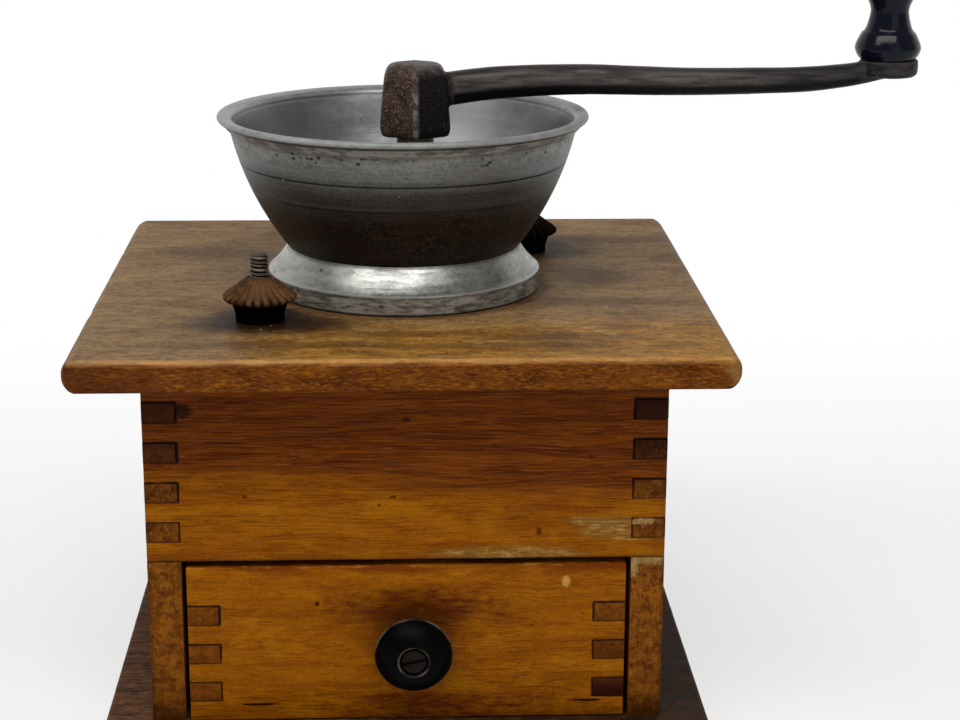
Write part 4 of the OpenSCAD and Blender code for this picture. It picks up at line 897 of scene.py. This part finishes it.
def crank(material):
    """Crank casting: six-sided hub, bowed arm and round pad, blended and pitted as cast."""
    hub_z, hub_h, flat = DECK + 47.8 * MM, 22.5 * MM, 10.9 * MM
    reach = KNOB.x - GRIND.x
    arm_z = hub_z + 14.8 * MM
    pad_top = KNOB_LOW.z - 0.2 * MM
    pad_t, pad_r, pad_x = 5.5 * MM, 9.1 * MM, 0.6 * MM
    sides, power = 72, 36

    def hub_ring(height, size):
        ring = []
        for i in range(sides):
            a = 2 * math.pi * i / sides
            total = sum(abs(math.cos(a + turn)) ** power for turn in (0, math.pi / 3, -math.pi / 3))
            radius = size / total ** (1 / power)
            ring.append((radius * math.cos(a), radius * math.sin(a), hub_z + height))
        return ring

    bm = bmesh.new()
    profile = spline([(0, 0.86), (0.02, 0.945), (0.08, 0.99), (0.18, 1), (0.73, 0.9), (0.87, 0.84),
                      (0.94, 0.76), (0.98, 0.63), (1, 0.45)], 3)
    loft(bm, [hub_ring(p.x * hub_h, p.y * flat) for p in profile])
    bends = [(0.05, -0.9), (0.18, 1.5), (0.36, 2.4), (0.56, 1.7), (0.79, 2.1), (0.91, 3.5)]
    path = spline([(s * reach, arm_z + h * MM) for s, h in bends] + [(reach, pad_top - pad_t / 2)], 14)
    shape = [(-0.24, -0.5), (0.24, -0.5), (0.4, -0.4), (0.48, -0.22), (0.5, -0.12), (0.48, -0.08),
             (0.47, 0.1), (0.42, 0.28), (0.31, 0.42), (0.16, 0.49), (0, 0.5)]
    shape += [(-y, h) for y, h in reversed(shape[2:-1])]
    shares = [i / (len(path) - 1) for i in range(len(path))]
    widths = [10.5 * MM - 1.5 * MM * share for share in shares]
    heights = [10.6 * MM - 4.2 * MM * share for share in shares]
    loft(bm, [[(p.x, y * wide, p.y + h * tall) for y, h in shape]
              for p, wide, tall in zip(path, widths, heights)])
    rounded = ((0, 0), (0.86, 0), (0.97, 0.15), (1, 0.35), (1, 0.9), (0.95, 1), (0, 1))
    pad = lathe([(r * pad_r, pad_top - (1 - h) * pad_t, reach + pad_x) for r, h in rounded], 64, False)
    bm.from_mesh(to_mesh(pad, "crank_pad"))
    bmesh.ops.recalc_face_normals(bm, faces=bm.faces)
    bmesh.ops.translate(bm, verts=bm.verts, vec=(GRIND.x, GRIND.y, 0))
    blank = put("crank_blank", to_mesh(bm, "crank"))
    remesh = blank.modifiers.new("cast", "REMESH")
    remesh.mode = "VOXEL"
    remesh.voxel_size = 0.42 * MM
    soften = blank.modifiers.new("soften", "SMOOTH")
    soften.factor = 0.5
    soften.iterations = 2
    cast = modified(blank)
    bpy.data.objects.remove(blank)
    for v in cast.verts:
        rough = noise.fractal(v.co * 500, 0.7, 2.0, 3) * 0.05 * MM
        swell = noise.noise(v.co * 90) * 0.08 * MM
        v.co -= v.normal * (abs(rough) + swell + 0.08 * MM)
    socket = 3.85 * MM
    cast = cut(cast, cube_between((GRIND.x - socket, GRIND.y - socket, hub_z - MM),
                                  (GRIND.x + socket, GRIND.y + socket, hub_z + 16.5 * MM)), "crank")
    bore, below, above = 2.65 * MM, pad_top - 2 * pad_t, pad_top + pad_t
    hole = lathe([(0, below), (bore, below), (bore, above), (0, above)], 32, False)
    bmesh.ops.translate(hole, verts=hole.verts, vec=(KNOB.x, KNOB.y, 0))
    cast = mesh_from(cut(cast, hole, "crank"), "crank_casting", 60)
    # height across the arm's section, from which the crank's finish paints shade on the underside
    section = []
    for v in cast.vertices:
        x = v.co.x - GRIND.x
        if 12 * MM < x < reach - 9 * MM:
            near = min(range(len(path)), key=lambda i: abs(path[i].x - x))
            section.append((v.co.z - path[near].y) / heights[near])
        else:
            section.append(0.2)
    cast.attributes.new("section", "FLOAT", "POINT").data.foreach_set("value", section)
    add_piece("cast_crank", cast, "crank", "rusty_iron", material, "crank_arm")


def cube_between(low, high):
    """Box between two corners as a bmesh."""
    bm = bmesh.new()
    bmesh.ops.create_cube(bm, size=1)
    low, high = Vector(low), Vector(high)
    size = high - low
    bmesh.ops.transform(bm, verts=bm.verts, matrix=Matrix.Translation((low + high) / 2)
                        @ Matrix.Diagonal((*size, 1)))
    return bm


def crank_knob(material):
    """Turned grip: collar, neck and bulb, bored for its pin."""
    tall, bore = KNOB_HIGH.z - KNOB_LOW.z, 2.66 * MM
    collar, neck, bulb, flat = 10.1 * MM, 5.95 * MM, 12.47 * MM, 5.4 * MM
    shares = [(0.87 * collar, 0), (0.97 * collar, 0.035), (collar, 0.08), (0.84 * collar, 0.156),
              (1.18 * neck, 0.196), (neck, 0.285), (1.02 * neck, 0.33), (1.17 * neck, 0.375), (0.8 * bulb, 0.5),
              (bulb, 0.7), (0.88 * bulb, 0.88), (0.62 * bulb, 0.98), (flat, 1)]
    line = spline([(r, KNOB_LOW.z + s * tall) for r, s in shares], 8)
    rings = [(bore, KNOB_LOW.z)] + [(p.x, p.y) for p in line] + [(bore, KNOB_HIGH.z)]
    bm = lathe(rings, 96, True)
    bmesh.ops.translate(bm, verts=bm.verts, vec=(KNOB.x, KNOB.y, 0))
    add_piece("turned_grip", mesh_from(bm, "grip", 50), "knob", "black_wood", material, "crank_knob")


def drawer_pull(material):
    """Domed drawer knob with the recess of its screw."""
    radius, length, neck, shank = PULL_HIGH.x - PULL.x, PULL_HIGH.y - PULL_LOW.y, 6 * MM, 2.05 * MM
    recess, brim, sink = 4.2 * MM, 0.65 * length, 2.6 * MM
    dome = arc((radius, brim - 0.04 * length), (1.12 * recess, length), 1.09 * radius, 20)
    back = spline([(1.2 * neck, 0), (neck, 0.09 * length), (neck, 0.21 * length), (1.23 * neck, 0.33 * length),
                   (0.91 * radius, brim - 0.15 * length), dome[0]], 5)
    line = [Vector((shank, 0))] + back[:-1] + dome
    line += [Vector((recess, 0.97 * length)), Vector((recess, length - sink)), Vector((shank, length - sink))]
    bm = lathe([(p[0], p[1]) for p in line], 96, True)
    bmesh.ops.transform(bm, verts=bm.verts, matrix=Matrix.Translation((PULL.x, PULL_HIGH.y, PULL.z))
                        @ Matrix.Rotation(math.pi / 2, 4, "X"))
    add_piece("turned_pull", mesh_from(bm, "pull", 40), "drawer", "black_wood", material, "drawer_knob")


def lobed_nut(side, material):
    """Clamp nut: waisted body, thick lobed rim and ribs that run up the cone to the stud."""
    centre = Vector((BOLTS[side].x, BOLTS[side].y, DECK))
    lobes, bore, radius, tall = 24, 2.96 * MM, 11.1 * MM, 13.2 * MM
    line = [(bore, 0, 0), (7.1 * MM, 0, 0), (7.3 * MM, 0.3 * MM, 0)]
    waist = [(7.25, 0.8, 0), (7.2, 1.6, 0), (7.55, 3.0, 0), (8.1, 4.6, 0), (8.6, 5.5, 0)]
    cap = [(9.6, 5.9, 0.6), (10.6, 6.4, 1.2), (11.05, 7.1, 1.4), (10.8, 7.8, 1.2), (9.7, 8.7, 0.7),
           (7.7, 10.1, 0.4), (5.7, 11.6, 0.12), (4.4, 12.6, 0), (3.7, 13.15, 0)]
    for run in (waist, cap):
        line += [(p.x * MM, p.y * MM, p.z) for p in spline(run, 5)]
    line += [(bore, tall, 0)]
    steps = lobes * 10
    bm = bmesh.new()
    loops, grooves = [], []
    for r, height, depth in line:
        loop = []
        for i in range(steps):
            angle = 2 * math.pi * i / steps
            valley = (1 - abs(math.cos(lobes * angle / 2))) * depth
            grooves.append(valley)
            worn = 0.1 * MM * noise.noise(Vector((math.cos(angle) * 4, math.sin(angle) * 4, height * 500)))
            reach = min(radius, r - valley * 0.8 * MM + worn * depth)
            drop = valley * 0.8 * MM if height > 7.8 * MM else 0
            spot = Vector((reach * math.cos(angle), reach * math.sin(angle), height - drop))
            loop.append(bm.verts.new(centre + spot))
        loops.append(loop)
    skin(bm, loops, closed=True)
    name = "clamp_nut_" + side
    mesh = mesh_from(bm, name, 50)
    mesh.attributes.new("groove", "FLOAT", "POINT").data.foreach_set("value", grooves)
    add_piece("lobed_nut_" + side, mesh, "case", "rusty_iron", material, name)


def thread_tree():
    """Geometry nodes: a round core with a helical ridge wound on it, from named sizes."""
    tree = bpy.data.node_groups.new("screw_thread", "GeometryNodeTree")
    sizes = {"Core": 0.0023, "Crest": 0.0028, "Pitch": 0.00125, "Foot": 0.0, "Length": 0.02}
    for label, value in sizes.items():
        socket = tree.interface.new_socket(label, in_out="INPUT", socket_type="NodeSocketFloat")
        socket.default_value = value
    tree.interface.new_socket("Place", in_out="INPUT", socket_type="NodeSocketVector")
    tree.interface.new_socket("Finish", in_out="INPUT", socket_type="NodeSocketMaterial")
    tree.interface.new_socket("Geometry", in_out="OUTPUT", socket_type="NodeSocketGeometry")
    given = tree.nodes.new("NodeGroupInput")
    size = {label: Wire(given.outputs[label]) for label in list(sizes) + ["Place", "Finish"]}
    turns = size["Length"] / size["Pitch"]
    helix = add_node(tree, "GeometryNodeCurveSpiral", {}, {
        "Resolution": 40, "Rotations": turns, "Start Radius": size["Core"], "End Radius": size["Core"],
        "Height": size["Length"]})
    ridge = size["Crest"] - size["Core"]
    section = add_node(tree, "GeometryNodeCurvePrimitiveCircle", {}, {"Resolution": 4, "Radius": ridge})
    wound = add_node(tree, "GeometryNodeCurveToMesh", {}, {
        "Curve": helix, "Profile Curve": section, "Fill Caps": True})
    core = add_node(tree, "GeometryNodeMeshCylinder", {}, {
        "Vertices": 40, "Radius": size["Core"], "Depth": size["Length"] + ridge * 2})
    halfway = add_node(tree, "ShaderNodeCombineXYZ", {}, {"Z": size["Length"] / 2})
    core = add_node(tree, "GeometryNodeTransform", {}, {"Geometry": core, "Translation": halfway})
    both = tree.nodes.new("GeometryNodeJoinGeometry")
    for part in (core, wound):
        tree.links.new(part.socket, both.inputs[0])
    placed = add_node(tree, "GeometryNodeTransform", {}, {
        "Geometry": Wire(both.outputs[0]), "Translation": size["Place"]})
    real = add_node(tree, "GeometryNodeRealizeInstances", {}, {0: placed})
    done = add_node(tree, "GeometryNodeSetMaterial", {}, {"Geometry": real, "Material": size["Finish"]})
    result = tree.nodes.new("NodeGroupOutput")
    tree.links.new(done.socket, result.inputs[0])
    return tree


def threaded(name, tree, values):
    """Mesh that a thread tree makes for these sizes."""
    holder = put(name, bpy.data.meshes.new(name + "_seed"))
    modifier = holder.modifiers.new("thread", "NODES")
    modifier.node_group = tree
    for item in tree.interface.items_tree:
        if item.in_out == "INPUT" and item.name in values:
            modifier[item.identifier] = values[item.name]
    graph = bpy.context.evaluated_depsgraph_get()
    mesh = bpy.data.meshes.new_from_object(holder.evaluated_get(graph), depsgraph=graph)
    holder.modifiers.clear()
    bpy.data.objects.remove(holder)
    return mesh


def clamp_bolt(side, tree, material):
    """Stud with its thread, and the square head under the housing's ear."""
    name = "clamp_bolt_" + side
    low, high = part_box(name)
    centre = (BOLTS[side].x, BOLTS[side].y)
    head_t, head_w, ridge = 4 * MM, 10.4 * MM, 0.5 * MM
    mesh = threaded("stud_" + side, tree, {
        "Core": 2.4 * MM, "Crest": 2.9 * MM, "Pitch": 1.2 * MM, "Length": high.z - low.z - head_t - 2 * ridge,
        "Place": (*centre, low.z + head_t + ridge), "Finish": material})
    head = cube_between((-head_w / 2, -head_w / 2, low.z), (head_w / 2, head_w / 2, low.z + head_t))
    bmesh.ops.bevel(head, geom=head.edges[:], offset=0.5 * MM, segments=2, profile=0.5, affect="EDGES")
    bmesh.ops.transform(head, verts=head.verts, matrix=Matrix.Translation((*centre, 0))
                        @ Matrix.Rotation(math.pi / 4, 4, "Z"))
    head.from_mesh(mesh)
    add_piece("threaded_stud_" + side, mesh_from(head, name, 30), "case", "screw_steel", material, name)


# Stage, light and camera

def stage():
    """White paper sweep: pale and shadowed near the mill, plain white further back."""
    f = Finish("paper", Roughness=0.9, Base_Color=(0.86, 0.86, 0.845, 1))
    light = f.tree.nodes.new("ShaderNodeLightPath")
    seen = Wire(light.outputs["Is Camera Ray"]).most(Wire(light.outputs["Is Glossy Ray"]))
    seen = seen.most(Wire(light.outputs["Is Transmission Ray"]))
    far = 0.62 + f.y.rise(0.02, 0.42) * 0.38
    glow = f.node("ShaderNodeEmission", {}, {"Color": (1, 1, 1, 1), "Strength": 1.0})
    blend = f.node("ShaderNodeMixShader", {}, {0: seen * far, 1: Wire(f.shader.outputs[0]), 2: glow})
    f.tree.links.new(blend.socket, f.tree.nodes["Material Output"].inputs["Surface"])
    bm = bmesh.new()
    half, kerb, back, bend, top = 12, 0.6, 1.4, 0.6, 2.4
    turns = [math.pi / 2 * k / 12 for k in range(13)]
    line = [(-half, kerb), (-half, 0)]
    line += [(back + bend * math.sin(a), bend * (1 - math.cos(a))) for a in turns] + [(back + bend, top)]
    across = ((-half, kerb), (-half, 0), (half, 0), (half, kerb))
    rows = [[bm.verts.new((x, y, z + lift)) for x, lift in across] for y, z in line]
    for a, b in zip(rows, rows[1:]):
        for i in range(len(across) - 1):
            bm.faces.new((a[i], a[i + 1], b[i + 1], b[i]))
    mesh = to_mesh(bm, "paper_sweep")
    smooth_mesh(mesh)
    mesh.materials.append(f.material)
    put("paper_sweep", mesh)


def lamp(name, place, wide, high, power, target=(0, 0, 0.1)):
    """Area lamp that shines at the mill."""
    data = bpy.data.lights.new(name, "AREA")
    data.shape = "RECTANGLE"
    data.size = wide
    data.size_y = high
    data.energy = power
    obj = put(name, data)
    obj.location = place
    obj.rotation_euler = (Vector(target) - Vector(place)).to_track_quat("-Z", "Y").to_euler()


def light_up():
    """Broad soft lamp above the front, a weak fill at the right and an even white room."""
    world = bpy.data.worlds.new("studio")
    bpy.context.scene.world = world
    world.use_nodes = True
    room = world.node_tree.nodes["Background"].inputs
    room["Color"].default_value = (1, 1, 1, 1)
    room["Strength"].default_value = 0.32
    lamp("key", (-0.2, -0.75, 1.3), 1.7, 0.4, 16.3)
    lamp("fill", (0.6, -1.3, 0.5), 0.9, 0.9, 2)
    bpy.context.scene.view_settings.view_transform = "Standard"


def camera():
    """The photograph's viewpoint: close to the front, looking down on the top board."""
    place = Vector((-3.356 * MM, -657.796 * MM, DECK + 159.959 * MM))
    yaw, pitch, roll = math.radians(2.41882), math.radians(15.83546), math.radians(0.26385)
    ahead = Vector((math.sin(yaw) * math.cos(pitch), math.cos(yaw) * math.cos(pitch), -math.sin(pitch)))
    right = Vector((math.cos(yaw), -math.sin(yaw), 0))
    up = right.cross(ahead)
    turned = math.cos(roll) * right + math.sin(roll) * up
    up = math.cos(roll) * up - math.sin(roll) * right
    data = bpy.data.cameras.new("view")
    data.sensor_width = 36
    data.lens = 79.2355
    obj = put("view", data)
    obj.matrix_world = Matrix((turned, up, -ahead)).transposed().to_4x4()
    obj.location = place
    bpy.context.scene.camera = obj


# The mill

PLAIN, IRON, STEEL = plain_wood(), burr_iron(), screw_steel()
SIDES = {"left_side": side_wood("left_side_wood", 37.0), "right_side": side_wood("right_side_wood", 61.0)}
DRAWER_SIDES = drawer_side_wood()
worn_board("top_board", "top_wood", top_wood(), 29.9 * MM, 4.3 * MM, 3.0)
worn_board("base_board", "base_wood", base_wood(), 0, 1.2 * MM, 8.0)
eased("front_rail", 0.3 * MM, "case", "case_wood", rail_wood())
eased("back_panel", 0.3 * MM, "case", "case_wood", back_wood())
for node, finish in SIDES.items():
    eased(node, 0.3 * MM, "case", "case_wood", finish)
eased("drawer_front", 0.35 * MM, "drawer", "drawer_wood", drawer_front_wood())
for node in ("drawer_left", "drawer_right", "drawer_back"):
    eased(node, 0.3 * MM, "drawer", "drawer_wood", DRAWER_SIDES)
for node in ("glue_blocks", "drawer_floor"):
    dress(node, PLAIN)
for node in ("burr_housing", "ring_burr", "top_bridge", "step_bar", "cone_burr"):
    dress(node, IRON)
for node in ("base_screws", "hopper_screws", "step_bar_screws", "thrust_pad", "regulating_screw", "spindle",
             "cone_pin", "knob_pin", "knob_washer"):
    dress(node, STEEL)
dress("drawer_knob_screw", pull_screw())
hopper(bowl_pewter(), foot_pewter())
crank(crank_iron())
crank_knob(black_paint("grip_paint", (8, 11, 24), (70, 52, 40), 3.0, 0.1, 0.16))
# the last tuple gives the radii of the pull's pale rings: worn paint and a painted highlight
drawer_pull(black_paint("pull_paint", (3, 3, 3), (40, 34, 30), 9.0, 0.34, 0.03,
                        (PULL_HIGH.x - PULL.x - 0.1 * MM, 4.5 * MM)))
NUT = nut_iron()
STUD = stud_steel()
THREAD = thread_tree()
for side in BOLTS:
    lobed_nut(side, NUT)
    clamp_bolt(side, THREAD, STUD)
stage()
light_up()
camera()
